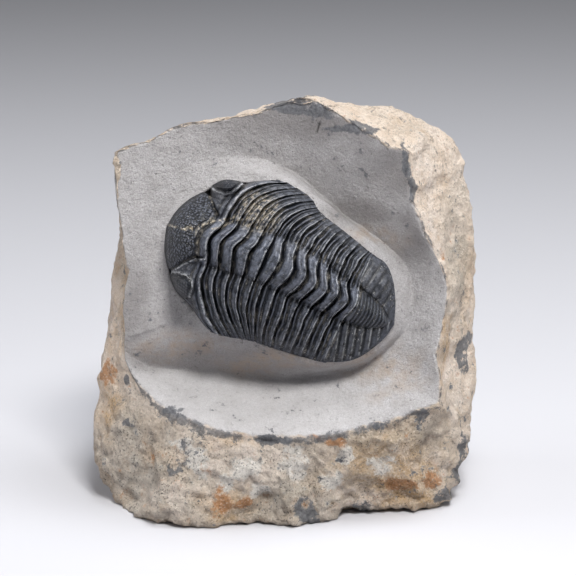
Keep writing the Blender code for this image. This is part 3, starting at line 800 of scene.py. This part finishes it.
def make_block(material):
    """The block as a loft through its stations, with large lumps on the natural faces and
    finer relief pushed out along the surface's normals, kept inside the solid model's box."""
    theta = np.linspace(-math.pi, math.pi, STONE_RAYS, endpoint=False)
    rows = [np.linspace(low, high, count, endpoint=False) for low, high, count in STONE_ROWS]
    station = np.concatenate(rows)
    radii, heights = block_levels(theta)
    radius = carried(radii, station)
    height = carried(heights, station)
    wide = station[:, None] * np.ones_like(radius)
    band = np.floor(wide)
    swell = np.sin(math.pi * (wide - band))
    height += np.where(band == RIM_AT, RIND_SWELL * swell, 0.0)
    height -= np.where(band == BACK_AT, BACK_SWELL * swell ** 2, 0.0)
    x = BODY_MIDDLE[0] + radius * np.cos(theta)
    y = BODY_MIDDLE[1] - radius * np.sin(theta)
    spot = in_millimetres(x, y, height)
    lumpy = LUMP_HEIGHT * rise(5.0, 5.5, wide) * (1.0 - 0.8 * bell(wide, SHOULDER_AT, 0.12))
    side = lumpy * lumps(spot, LUMP_SIZE, 2) / (UNIT / MM) * rise(6.0, 6.3, wide)
    height = height + lumpy * lumps(spot, LUMP_SIZE, 1)
    solid = place(x - side * np.cos(theta), y + side * np.sin(theta), height)
    rough = {name: fractal(spot, *numbers) for name, numbers in BLOCK_LUMPS.items()}
    low_front = rise(395.0, 440.0, y) * rise(*NATURAL_EDGE, wide)
    seen = fall(6.1, 6.5, wide)
    crack = np.zeros_like(x)
    stray = 1.5 * rough["fine"]
    for line, depth in CRACKS:
        crack = np.maximum(crack, depth * near_line(x + stray, y + stray, line, CRACK_WIDTH))
    crack = crack * seen
    relief = block_relief(wide, rough, crack, low_front)
    solid = solid + outward(solid) * (relief * MM)[:, :, None]
    solid = np.clip(solid, np.array(CAD_BOX[0]) + BOX_INSET, np.array(CAD_BOX[1]) - BOX_INSET)
    solid[:, :, 2] = np.where(solid[:, :, 2] < BASE_SNAP, 0.0, solid[:, :, 2])
    front = place(np.array([BODY_MIDDLE[0]]), np.array([BODY_MIDDLE[1]]),
                  np.array([BED_HEIGHT]))
    back = np.mean(solid[-1], axis=0, keepdims=True)
    points = np.concatenate([solid.reshape(-1, 3), front, back])
    values = block_values(x, y, wide, spot, rough, crack, low_front, seen)
    flat = {key: np.append(value.ravel(), [0.0, 0.0]) for key, value in values.items()}
    piece = build_mesh("limestone_block", points, block_faces(*x.shape), flat)
    return finish_piece(piece, "matrix_stone", material)


def plate_piece(name, x, y, height, values):
    """A plate as a closed piece: its upper surface on a grid, a wall down to the bed all
    round and one flat face below."""
    rows, columns = x.shape
    drawn_x, drawn_y = body_to_drawing(x, y)
    top = place(drawn_x, drawn_y, height).reshape(-1, 3)
    grid = np.arange(rows * columns).reshape(rows, columns)
    ring = np.concatenate([grid[0, :-1], grid[:-1, -1], grid[-1, :0:-1], grid[:0:-1, 0]])
    floor = place(drawn_x.ravel()[ring], drawn_y.ravel()[ring],
                  np.full(len(ring), BED_HEIGHT + GAP / MM))
    points = np.concatenate([top, floor])
    quads = np.stack([grid[:-1, :-1], grid[:-1, 1:], grid[1:, 1:], grid[1:, :-1]], axis=-1)
    low = np.arange(len(ring)) + rows * columns
    wall = np.stack([ring, np.roll(ring, -1), np.roll(low, -1), low], axis=-1)
    faces = quads.reshape(-1, 4)[:, ::-1].tolist() + wall.tolist()
    faces.append(low.tolist())
    flat = {}
    for key, value in values.items():
        flat[key] = np.concatenate([value.ravel(), value.ravel()[ring]])
    return build_mesh(name, points, faces, flat)


def near_line(x, y, line, width):
    """Nearness of points to a broken line: 1 on it, fading like a bell over its width."""
    nearest = np.full(x.shape, 1.0e9)
    for (ax, ay), (bx, by) in zip(line[:-1], line[1:]):
        run = np.array([bx - ax, by - ay], float)
        share = unit(((x - ax) * run[0] + (y - ay) * run[1]) / (run @ run))
        nearest = np.minimum(nearest, np.hypot(x - ax - share * run[0], y - ay - share * run[1]))
    return np.exp(-(nearest / width) ** 2)


def vein_mask(x, y):
    """How much mineral lies on the shell at points of the body drawing."""
    mask = np.zeros_like(x)
    for line, width in VEIN_LINES:
        mask = np.maximum(mask, near_line(x, y, line, width))
    away = np.hypot((x - PATCH_MIDDLE[0]) / PATCH_SIZE[0], (y - PATCH_MIDDLE[1]) / PATCH_SIZE[1])
    return np.maximum(0.9 * mask, 0.85 * fall(0.3, 1.35, away))


def shell_values(x, y, relief, deep, high, edge, gloss):
    """Attributes of the shell: crest from 0 in the grooves to 1 on the ridges, which darkens
    the grooves and lightens the ridges partly as painted shade and highlight, and hollow the
    other way round, the edge of a plate, lighter from wear and a painted highlight, its gloss,
    the mineral, painted light on the upper flank, and the tips of granules."""
    crest = rise(deep, high, relief)
    return {
        "crest": crest,
        "hollow": fall(0.1, 0.5, crest),
        "edge": edge,
        "gloss": gloss,
        "mineral": vein_mask(x, y),
        # painted light: the upper flank made lighter
        "painted_light": fall(-38.0, -6.0, y),
        "grain": np.zeros_like(x),
    }


def joint_side(index, v, clear):
    """A plate's side of a joint: the joint's wavering line, moved towards the tail."""
    return shifted(*joint_line(index, v), joint_wave(index, v) + clear)


def plate_grid(front, back, v, rows):
    """Grid between a plate's two sides: x, y, the share of the way back, and that across."""
    u = np.linspace(0.0, 1.0, rows)[:, None] * np.ones(len(v))
    x = front[0] * (1.0 - u) + back[0] * u
    y = front[1] * (1.0 - u) + back[1] * u
    return x, y, u, v * np.ones_like(u)


def axis_share(place_along, across):
    """Half width of the axis as a share of the way to the edge, wider on the upper side."""
    upper = np.interp(place_along, np.arange(SEGMENTS + 1), AXIS_UPPER)
    return np.where(across > 0, AXIS_SHARE, upper)


def beside_axis(across, share):
    """Share of the way from the axis out to the edge: 0 on the axis, 1 at the edge."""
    return unit((np.abs(across) - share) / (1.0 - share))


def flank_height(tip, crest, out):
    """Height beside the axis, falling from under its crest to the tip in a full curve."""
    power, root = FLANK_CURVE
    return tip + (crest - AXIS_RISE - tip) * (1.0 - out ** power) ** root


def thorax_height(place_along, across):
    """Height over the thorax before its rings: a rounded axis between sides that fall to
    the edges."""
    marks = np.arange(SEGMENTS + 1)
    crest = np.interp(place_along, marks, CREST)
    tip = np.where(across > 0, np.interp(place_along, marks, LOWER_TIP),
                   np.interp(place_along, marks, UPPER_TIP))
    share = axis_share(place_along, across)
    dome = AXIS_RISE * unit(1.0 - (across / share) ** 2) ** 0.8
    return flank_height(tip, crest, beside_axis(across, share)) + dome


def thorax_relief(index, u, v):
    """Relief of a thoracic plate: the ring's profile with a bulb beside it on the axis, the
    rib's outside, its furrow drifting back outwards and fine ripples on the upper side,
    pits in the axial furrow and smooth tips."""
    share = axis_share(index + u, v)
    out = beside_axis(v, share)
    arch = np.sin(math.pi * unit(u))
    furrow_at = 0.36 + 0.12 * rise(0.0, 0.7, out)
    warped = u ** (math.log(0.42) / np.log(furrow_at))
    late = rise(0.55, 0.85, u)
    ring = rounded(RING_PROFILE, u) + 0.5 * bell(v / share, -0.3, 0.45) * arch ** 2
    ripple = 0.16 * np.cos(6.0 * math.pi * u) * fall(0.6, 0.9, out)
    rib = rounded(RIB_PROFILE, warped * (1.0 - late) + u * late) + np.where(v < 0, ripple, 0.0)
    on_rib = rise(0.66, 1.12, np.abs(v) / share)
    fade = 1.0 - 0.62 * rise(0.55, 0.95, out)
    pit = bell(np.abs(v) / share, 1.0, 0.14) * (0.04 + 0.8 * (1.0 - arch) ** 1.5)
    return ring * (1.0 - on_rib) + rib * on_rib * fade - pit


def make_segment(index, material):
    """One thoracic plate between its two joint lines, from edge to edge."""
    rows, columns = SEGMENT_GRID
    v = np.linspace(-1.0, 1.0, columns)
    front = joint_side(index, v, PLATE_FRONT)
    back = joint_side(index + 1, v, PLATE_BACK)
    x, y, u, wide = plate_grid(front, back, v, rows)
    spot = in_millimetres(x, y)
    sway = 0.11 * lumps(spot, 2.6, 54) * np.sin(math.pi * u)
    relief = thorax_relief(index, unit(u + sway), wide)
    relief = relief * (1.25 + 0.35 * lumps(spot, 3.1, 55))
    uneven = 0.12 * fractal(spot, 1.5, 51, 4)
    rolled = rise(0.90, 1.0, np.abs(wide)) ** 2
    crumbs = vein_mask(x, y) * 0.25 * fractal(spot, 0.9, 61, 2)
    height = thorax_height(index + u, wide) + relief + uneven + crumbs - rolled
    # edge lines along the rear of each plate: lighter partly from wear, partly as a painted
    # highlight
    edge = bell(u, 0.925, 0.035) * fall(0.85, 0.97, np.abs(wide))
    gloss = fall(0.85, 0.98, np.abs(wide))
    values = shell_values(x, y, relief, -0.8, 0.55, edge, gloss)
    piece = plate_piece("thoracic_plate_%02d" % (index + 1), x, y, height, values)
    return finish_piece(piece, "thoracic_segment_%02d" % (index + 1), material)


def eye_relief(x, y, centre, radii, turn, lid_line):
    """An eye on the cheek: a raised knoll, lenses packed in staggered rows on its outer
    wall, and the thin lid that runs round its inner side behind a groove. Gives its
    height, the lenses, the lid and where the eye is."""
    a, b = ellipse_axes(x, y, centre, radii, turn)
    away = math.copysign(1.0, centre[1])
    outer = b * away
    row = outer / (LENS_SPACING * 1.05)
    across = a / LENS_SPACING + 0.5 * (np.floor(row) % 2)
    cell = np.hypot(across - np.floor(across) - 0.5, row - np.floor(row) - 0.5)
    dome = np.sqrt(unit(1.0 - (cell / 0.5) ** 2))
    reach = np.hypot(a, b)
    area = fall(0.82, 0.97, reach) * rise(-0.40, -0.15, a + 0.4 * outer)
    lid = near_line(x, y, lid_line, 1.2)
    inside = fall(0.95, 1.1, reach)
    groove = near_line(x + 1.0, y - 2.6 * away, lid_line, 1.5) * inside
    height = EYE_HEIGHT * bump(x, y, centre, radii, turn) + LID_HEIGHT * lid
    return height - LID_GROOVE * groove, dome * area, lid, inside


def make_head(material):
    """Head shield: the swollen forehead covered with granules between its two furrows, the
    cheeks, the eyes with their lenses, the ring and border along the rear, and three
    notches in the free edge."""
    rows, columns = HEAD_GRID
    v = np.linspace(-1.0, 1.0, columns)
    front_x, front_y = front_edge(v)
    for (middle_x, middle_y), (way_x, way_y), depth in NOTCHES:
        pull = depth * bell(np.hypot(front_x - middle_x, front_y - middle_y), 0.0, NOTCH_WIDTH)
        front_x = front_x + way_x * pull
        front_y = front_y + way_y * pull
    back_x, back_y = joint_side(0, v, PLATE_BACK)
    x, y, u, wide = plate_grid((front_x, front_y), (back_x, back_y), v, rows)
    top = thorax_height(np.zeros_like(wide), wide)
    side = np.where(wide > 0, LOWER_TIP[0], UPPER_TIP[0]) - 0.6
    edge = NOSE_HEIGHT + (side - NOSE_HEIGHT) * rise(0.35, 1.0, np.abs(wide))
    base = edge + (top - edge) * np.sqrt(unit(1.0 - (1.0 - u) ** 2.2))
    to_rear = along(FOREHEAD_REAR, y) - x
    inside = to_rear
    for (side_x, side_y), (way_x, way_y) in FOREHEAD_SIDES:
        inside = np.minimum(inside, way_x * (x - side_x) + way_y * (y - side_y))
    swell = FOREHEAD_SWELL * np.sqrt(unit(inside / 14.0)) * rise(0, 3, inside)
    furrow = np.maximum(near_line(x, y, LOWER_FURROW, 1.5), near_line(x, y, UPPER_FURROW, 1.7))
    brow = near_line(x - 2.0, y - 1.6, LOWER_FURROW, 1.1)
    from_joint = (1.0 - u) * np.hypot(front_x - back_x, front_y - back_y)
    on_axis = fall(0.75, 1.05, np.abs(wide) / axis_share(0.0, wide))
    near = np.clip(from_joint, 0.0, 20.0)
    rear = rounded(NECK_PROFILE, near) * on_axis + rounded(BORDER_PROFILE, near) * (1.0 - on_axis)
    eyes = lens = lids = on_eye = np.zeros_like(x)
    for eye in EYES:
        raised, lenses, lid, within = eye_relief(x, y, *eye)
        eyes = eyes + raised
        lens = np.maximum(lens, lenses)
        lids = np.maximum(lids, lid)
        on_eye = np.maximum(on_eye, within)
    nearest = granules(in_millimetres(x, y, base), GRANULE_SIZE, 71)
    grain = unit(1.0 - (nearest / GRANULE_REACH) ** 2)
    on_forehead = rise(0.5, 3.0, inside)
    off_eyes = fall(0.02, 0.2, np.maximum(lens, lids))
    cheek = (1.0 - on_forehead) * rise(9.0, 14.0, from_joint) * off_eyes
    bumps = grain * (GRANULE_HEIGHT * on_forehead + CHEEK_GRANULES * cheek)
    uneven = 0.07 * fractal(in_millimetres(x, y, base), 1.7, 52, 3)
    behind = near_line(x - 2.8, y + 0.5, BEHIND_EYE, 1.4)
    notch = near_line(x, y, UPPER_FURROW[:2], 2.2) * fall(-96.0, -91.0, x)
    free = rise(0.0, 0.10, u)
    relief = rear - FURROW_DEPTH * free * furrow - NOTCH_FLOOR * notch - BEHIND_DEPTH * behind
    height = base + free * swell + relief + BROW_HEIGHT * brow + eyes + bumps + uneven
    height = height + LENS_HEIGHT * lens
    # the lids, brow and rear border get the lighter edge colour: partly wear, partly painted
    # highlight
    rim = np.maximum(np.maximum(lids, brow), bell(from_joint, 1.6, 0.9))
    off_edge = rise(0.0, 0.12, u)
    values = shell_values(x, y, relief, -0.7, 0.5, rim, off_edge)
    smooth = np.maximum(on_forehead, on_eye)
    values["crest"] *= (1.0 - 0.9 * np.maximum(on_forehead, on_eye * (1 - lids))) * off_edge
    values["hollow"] *= 1.0 - smooth
    values["gloss"] = values["gloss"] * (1.0 - 0.3 * smooth)
    # painted highlight: the tips of the granules and lenses made lighter
    values["grain"] = 1.6 * (grain - 0.25) * (on_forehead + 0.3 * cheek) + 0.4 * lens
    values["grain"] *= rise(0.0, 0.08, u)
    residue = 0.6 * np.maximum(near_line(x, y, UPPER_FURROW, 1.0), notch)
    residue = np.maximum(residue, 0.55 * bell(to_rear, -1.5, 2.6) * (np.abs(y) < 24))
    values["mineral"] = np.maximum(values["mineral"], residue)
    piece = plate_piece("head_shield", x, y, height, values)
    return finish_piece(piece, "cephalon", material)


def crests(position, start, spacing, power):
    """Evenly spaced crests along a position: 1 on each, 0 half way between them."""
    return (0.5 + 0.5 * np.cos(2.0 * math.pi * (position - start) / spacing)) ** power


def make_tail(material):
    """Tail shield: its axis tapers to a blunt end behind closely set rings, with ribs
    fanning over the sides, a low swelling on the upper one with a painted highlight, and a smooth
    margin."""
    rows, columns = TAIL_GRID
    v = np.linspace(-1.0, 1.0, columns)
    front = joint_side(SEGMENTS, v, PLATE_FRONT)
    x, y, u, wide = plate_grid(front, rear_edge(v), v, rows)
    out = beside_axis(wide, axis_share(float(SEGMENTS), wide))
    side = np.where(wide > 0, LOWER_TIP[-1], UPPER_TIP[-1])
    top = flank_height(side, CREST[-1], out)
    edge = TAIL_HEIGHT + (side - 0.5 - TAIL_HEIGHT) * np.abs(wide)
    base = edge + (top - edge) * (1.0 - unit(u) ** 1.7) ** 0.75
    middle_x, half_length, half_width = TAIL_AXIS
    centre = along(MIDDLE_LINE, x)
    taper = unit(1.0 - ((x - middle_x) / half_length) ** 2)
    from_axis = np.abs(y - centre) / (half_width * np.sqrt(taper) + 0.01)
    arch = unit(1.0 - from_axis ** 2)
    base = base + AXIS_RISE * arch ** 1.1 * (1.0 - 0.45 * rise(70.0, 116.0, x))
    on_axis = fall(0.85, 1.02, from_axis)
    margin = rise(0.0, 0.14, 1.0 - u) * fall(0.88, 0.98, np.abs(wide))
    line = 77.2 + JOINT_SKEW * y + 5.8 * fall(0.0, 24.0, np.abs(y - 2.0))
    band = (x - front[0]) / np.maximum(line - front[0], 3.0)
    first_rib = 1.25 * thorax_relief(SEGMENTS, unit(band), wide)
    past = rise(1.0, 1.3, band)
    bowed = x - 4.0 * arch
    rings = -TAIL_GROOVE * crests(bowed, RING_START, RING_SPACING, 2)
    rings = rings * rise(80.0, 82.0, bowed) * fall(109.0, 115.0, bowed)
    fan = x - FAN_SLOPE * (np.abs(y - centre) - 15.0)
    ribs = -TAIL_GROOVE * crests(fan, RIB_START, RIB_SPACING, 1.3)
    ribs = ribs * (1.0 - 0.6 * rise(98.0, 114.0, fan))
    ribs = ribs - 0.05 * crests(fan, RIB_START, RIB_SPACING / 2.0, 2)
    lower = np.where(wide > 0, 0.2, 0.0)
    ribs = ribs * (1.0 + 2.0 * lower) * fall(0.55 + lower, 0.85 + 0.7 * lower, out)
    swelling = bump(x, y, *TAIL_SWELLING)
    ribs = ribs * (1.0 - 0.45 * swelling)
    relief = (rings * on_axis + ribs * (1.0 - on_axis)) * margin
    relief = relief - AXIS_FURROW * bell(from_axis, 1.0, 0.10) * margin
    relief = relief * past + first_rib * (1.0 - past)
    uneven = 0.07 * fractal(in_millimetres(x, y), 1.7, 53, 3)
    # lighter edge lines on the tail's first rib and lower ribs: partly wear, partly painted
    # highlight
    wear_and_highlight = bell(band, 0.925, 0.05) * fall(0.80, 0.95, np.abs(wide))
    phase = (fan - RIB_START) / RIB_SPACING
    fan_edge = bell(phase - np.floor(phase), 0.84, 0.07) * (1.0 - on_axis) * margin * past
    wear_and_highlight = np.maximum(wear_and_highlight, 0.8 * fan_edge * (wide > 0))
    gloss = fall(0.85, 0.98, np.abs(wide)) * fall(0.8, 0.96, u)
    values = shell_values(x, y, relief, -0.6, 0.4, wear_and_highlight, gloss)
    values["hollow"] *= np.where(past > 0.5, 0.35, 1.0)
    # painted highlight: a lighter patch on the swelling of the upper side
    values["painted_light"] = np.maximum(0.6 * values["painted_light"], 1.5 * swelling)
    height = base + relief + uneven + 0.5 * swelling
    piece = plate_piece("tail_shield", x, y, height, values)
    return finish_piece(piece, "pygidium", material)


class Finish:
    """A material of its output and one Principled shader, with short ways to add nodes."""

    def __init__(self, name):
        self.material = bpy.data.materials.new(name)
        self.material.use_nodes = True
        self.tree = self.material.node_tree
        self.tree.nodes.clear()
        output = self.tree.nodes.new("ShaderNodeOutputMaterial")
        self.shader = self.tree.nodes.new("ShaderNodeBsdfPrincipled")
        self.tree.links.new(self.shader.outputs["BSDF"], output.inputs["Surface"])

    def fill(self, node, **inputs):
        """Give inputs of a node a value or another node's socket each. Names have
        underscores for spaces; one that ends in a number picks the input by that index."""
        for name, value in inputs.items():
            number = name.rpartition("_")[2]
            socket = node.inputs[int(number) if number.isdigit() else name.replace("_", " ")]
            if isinstance(value, bpy.types.NodeSocket):
                self.tree.links.new(value, socket)
            else:
                socket.default_value = (*value, 1.0) if isinstance(value, tuple) else value
        return node

    def node(self, kind, settings=None, **inputs):
        """A node of a kind, with its settings and its inputs."""
        node = self.tree.nodes.new(kind)
        for name, value in (settings or {}).items():
            setattr(node, name, value)
        return self.fill(node, **inputs)

    def attribute(self, name):
        """The value of a named float attribute."""
        return self.node("ShaderNodeAttribute", {"attribute_name": name}).outputs["Fac"]

    def noises(self, table):
        """The noises of a table by name, all on object coordinates."""
        spot = self.node("ShaderNodeTexCoord").outputs["Object"]
        return {name: self.node("ShaderNodeTexNoise", None, Vector=spot, Scale=scale,
                                Detail=detail, Roughness=rough).outputs["Fac"]
                for name, (scale, detail, rough) in table.items()}

    def ramp(self, value, low, high, start=0.0, end=1.0):
        """Straight change from start to end while the value goes from low to high, clamped."""
        return self.node("ShaderNodeMapRange", {"clamp": True}, Value=value, From_Min=low,
                         From_Max=high, To_Min=start, To_Max=end).outputs["Result"]

    def maths(self, operation, first, *others):
        """One operation on a value and each of the others in turn."""
        for other in others:
            first = self.node("ShaderNodeMath", {"operation": operation},
                              any_0=first, any_1=other).outputs[0]
        return first

    def blend(self, factor, a, b):
        """Colour a turning to colour b by the factor."""
        return self.node("ShaderNodeMix", {"data_type": "RGBA"}, any_0=factor, any_6=a,
                         any_7=b).outputs[2]

    def coat(self, under, patterns, *coats):
        """Coats of colour over the one below, as the tables say."""
        for pattern, low, high, strength, colour in coats:
            share = self.ramp(patterns[pattern], low, high, 0.0, strength)
            under = self.blend(share, under, colour)
        return under

    def bumps(self, *layers):
        """One bump over another, each with its height, strength and depth in metres."""
        normal = {}
        for height, strength, depth in layers:
            bump_node = self.node("ShaderNodeBump", None, Height=height, Strength=strength,
                                  Distance=depth, **normal)
            normal = {"Normal": bump_node.outputs["Normal"]}
        return normal["Normal"]


def limestone_finish():
    """Prepared stone: fine blasted grain with dark specks, painted shade in patches on the
    walls of the hollow and painted light on the shelf below the body. Natural faces: cream
    and khaki rind with rust, ochre, pale crust, dark pits and specks. Freshly broken stone
    shows in scars, in patches and along the rim."""
    finish = Finish("limestone_finish")
    ramp, maths, blend = finish.ramp, finish.maths, finish.blend
    seen = finish.noises(STONE_NOISES)
    for name in (*PATCHES, "natural", "cream", "ledge_lit_painted", "rim", "crack"):
        seen[name] = finish.attribute(name)
    mottle, grain, natural = seen["mottle"], seen["grain"], seen["natural"]
    torn = maths("ADD", maths("MULTIPLY", maths("SUBTRACT", mottle, 0.5), 3.4),
                 maths("MULTIPLY", maths("SUBTRACT", seen["pitting"], 0.5), 2.6))
    for name, low, high in (("stain", 0.40, 0.62), ("grey", 0.36, 0.60), ("light", 0.62, 0.38),
                            ("ochre", 0.36, 0.60)):
        seen[name] = maths("MULTIPLY", seen[name], ramp(mottle, low, high))
    for name, sign in (("pale", "ADD"), ("rust", "SUBTRACT"), ("broken", "ADD"), ("rim", "ADD")):
        seen[name] = maths(sign, seen[name], torn)
    seen["pits"] = maths("MULTIPLY", ramp(seen["dots"], 0.58, 0.68),
                         ramp(seen["dense"], 0.36, 0.62, 0.15, 0.85),
                         ramp(seen["cream"], 0.0, 1.0, 1.0, 0.6))
    seen["scar"] = maths("MULTIPLY", ramp(seen["scar"], 0.655, 0.675), natural)
    face = blend(ramp(seen["sand"], 0.3, 0.7), FACE_SAND, FACE_GREY)
    face = finish.coat(face, seen, *FACE_COATS)
    cream = blend(ramp(mottle, 0.38, 0.62), RIND_CREAM, RIND_TAN)
    khaki = blend(ramp(mottle, 0.40, 0.60), RIND_KHAKI, RIND_PALE)
    rind = finish.coat(blend(seen["cream"], khaki, cream), seen, *RIND_COATS)
    fresh = blend(ramp(grain, 0.4, 0.62), BROKEN_PALE, BROKEN_GREY)
    colour = finish.coat(blend(natural, face, rind), seen, ("broken", 0.5, 0.8, 0.9, fresh),
                         ("scar", 0.0, 1.0, 0.85, fresh), ("rim", 0.60, 0.95, 0.8, fresh),
                         CRACK_COAT)
    rough = maths("MULTIPLY", seen["pitting"], ramp(natural, 0.0, 1.0, 0.38, 1.0))
    normal = finish.bumps((rough, 1.0, 0.0021), (grain, 0.9, 0.0005), (seen["sand"], 0.6, 0.00012))
    finish.fill(finish.shader, Base_Color=colour, Roughness=ramp(mottle, 0.3, 0.7, 0.82, 0.97),
                Specular_IOR_Level=0.3, Normal=normal)
    return finish.material


def shell_finish():
    """Mineralised shell: blue-black in the grooves and greyer on the ridges, partly as painted
    shade and painted highlight, with painted light on the upper flank, granule tips lightened
    as a painted highlight, plate edges lighter from wear and a painted highlight, pale dust left
    in the furrows, flecks and a rough ochre vein; glossy except along its outer edge."""
    finish = Finish("fossil_shell_finish")
    ramp, maths, blend = finish.ramp, finish.maths, finish.blend
    seen = finish.noises(SHELL_NOISES)
    for name in ("crest", "painted_light", "grain", "edge", "hollow", "mineral", "gloss"):
        seen[name] = finish.attribute(name)
    mottle, fine, streak = seen["mottle"], seen["fine"], seen["streak"]
    # ridges lighter, grooves dark: partly wear, partly painted highlight and painted shade
    wear_and_highlight = maths("MULTIPLY", maths("POWER", seen["crest"], 1.7), ramp(streak, 0.32, 0.66))
    # painted light on the upper flank and a painted highlight on the tail's swelling
    painted_light = maths("MULTIPLY", seen["painted_light"], ramp(mottle, 0.35, 0.65), 0.85)
    # edge lines: partly wear, partly painted highlight
    seen["edge"] = maths("MULTIPLY", seen["edge"], ramp(streak, 0.40, 0.56))
    seen["dust"] = maths("MULTIPLY", seen["hollow"], ramp(mottle, 0.50, 0.62),
                         ramp(fine, 0.42, 0.58))
    seen["fleck"] = maths("MULTIPLY", ramp(seen["fleck"], 0.63, 0.70, 0.0, 0.8),
                          ramp(mottle, 0.44, 0.58))
    seen["vein"] = maths("MULTIPLY", seen["mineral"], ramp(streak, 0.42, 0.62))
    vein_tint = blend(ramp(fine, 0.4, 0.6), VEIN_OCHRE, VEIN_CREAM)
    ridge = blend(painted_light, SHELL_CREST, SHELL_PAINTED_LIGHT)
    colour = finish.coat(blend(wear_and_highlight, SHELL_DARK, ridge), seen,
                         ("grain", 0.1, 0.9, 1.0, SHELL_TIP_HIGHLIGHT), ("edge", 0.0, 1.0, 0.9, SHELL_EDGE_WEAR_HIGHLIGHT),
                         ("dust", 0.0, 1.0, 0.55, SHELL_DUST),
                         ("fleck", 0.0, 1.0, 1.0, SHELL_FLECK),
                         ("vein", 0.12, 0.7, 0.85, vein_tint))
    dull = maths("ADD", ramp(mottle, 0.3, 0.7, 0.25, 0.40), maths("MULTIPLY", seen["vein"], 0.4),
                 ramp(seen["gloss"], 0.0, 1.0, 0.4, 0.0))
    normal = finish.bumps((fine, 0.35, 0.00012), (streak, 0.5, 0.0004))
    finish.fill(finish.shader, Base_Color=colour, Roughness=dull, Specular_IOR_Level=0.38,
                Normal=normal)
    return finish.material


def make_floor():
    """A plain pale floor under the block."""
    finish = Finish("floor_pale")
    finish.fill(finish.shader, Base_Color=FLOOR_GREY, Roughness=0.6)
    mesh = bpy.data.meshes.new("studio_floor")
    far = FLOOR_REACH
    corners = [(-far, -far, 0.0), (far, -far, 0.0), (far, far, 0.0), (-far, far, 0.0)]
    mesh.from_pydata(corners, [], [(0, 1, 2, 3)])
    mesh.materials.append(finish.material)
    floor = bpy.data.objects.new("studio_floor", mesh)
    bpy.context.scene.collection.objects.link(floor)


def aim(thing, spot, target):
    """Put a thing at a spot and turn its -Z towards the target."""
    thing.location = spot
    direction = Vector(target) - Vector(spot)
    thing.rotation_euler = direction.to_track_quat("-Z", "Y").to_euler()


def make_camera():
    """The eye square on to the face, at the distance the drawing is made for."""
    camera = bpy.data.cameras.new("camera")
    camera.sensor_width = SENSOR_WIDTH
    camera.lens = SENSOR_WIDTH * VIEW_DISTANCE / (PICTURE_UNITS * UNIT)
    camera.clip_start = 0.01
    holder = bpy.data.objects.new("camera", camera)
    bpy.context.scene.collection.objects.link(holder)
    middle = np.array(FACE_ORIGIN)
    toward = np.array([0.0, -math.cos(FACE_LEAN), math.sin(FACE_LEAN)])
    aim(holder, tuple(middle + toward * VIEW_DISTANCE), tuple(middle))
    bpy.context.scene.camera = holder


def make_light(name, spot, side, power, colour):
    """A soft square light that looks at the block."""
    lamp = bpy.data.lights.new(name, "AREA")
    lamp.shape = "SQUARE"
    lamp.size = side
    lamp.energy = power
    lamp.color = colour
    holder = bpy.data.objects.new(name, lamp)
    bpy.context.scene.collection.objects.link(holder)
    aim(holder, spot, LIGHT_TARGET)


def make_lights():
    """A small light in front and a large soft one above, both overhead, a weak one on each
    side, and an even grey surrounding."""
    for light in LIGHTS:
        make_light(*light)
    world = bpy.data.worlds.new("studio")
    world.use_nodes = True
    sky = world.node_tree.nodes["Background"]
    sky.inputs["Color"].default_value = (*SKY_GREY, 1.0)
    sky.inputs["Strength"].default_value = SKY_STRENGTH
    bpy.context.scene.world = world
    bpy.context.scene.view_settings.view_transform = "Standard"


make_camera()
make_lights()
make_floor()
stone_finish = limestone_finish()
body_finish = shell_finish()
make_block(stone_finish)
make_head(body_finish)
for number in range(SEGMENTS):
    make_segment(number, body_finish)
make_tail(body_finish)
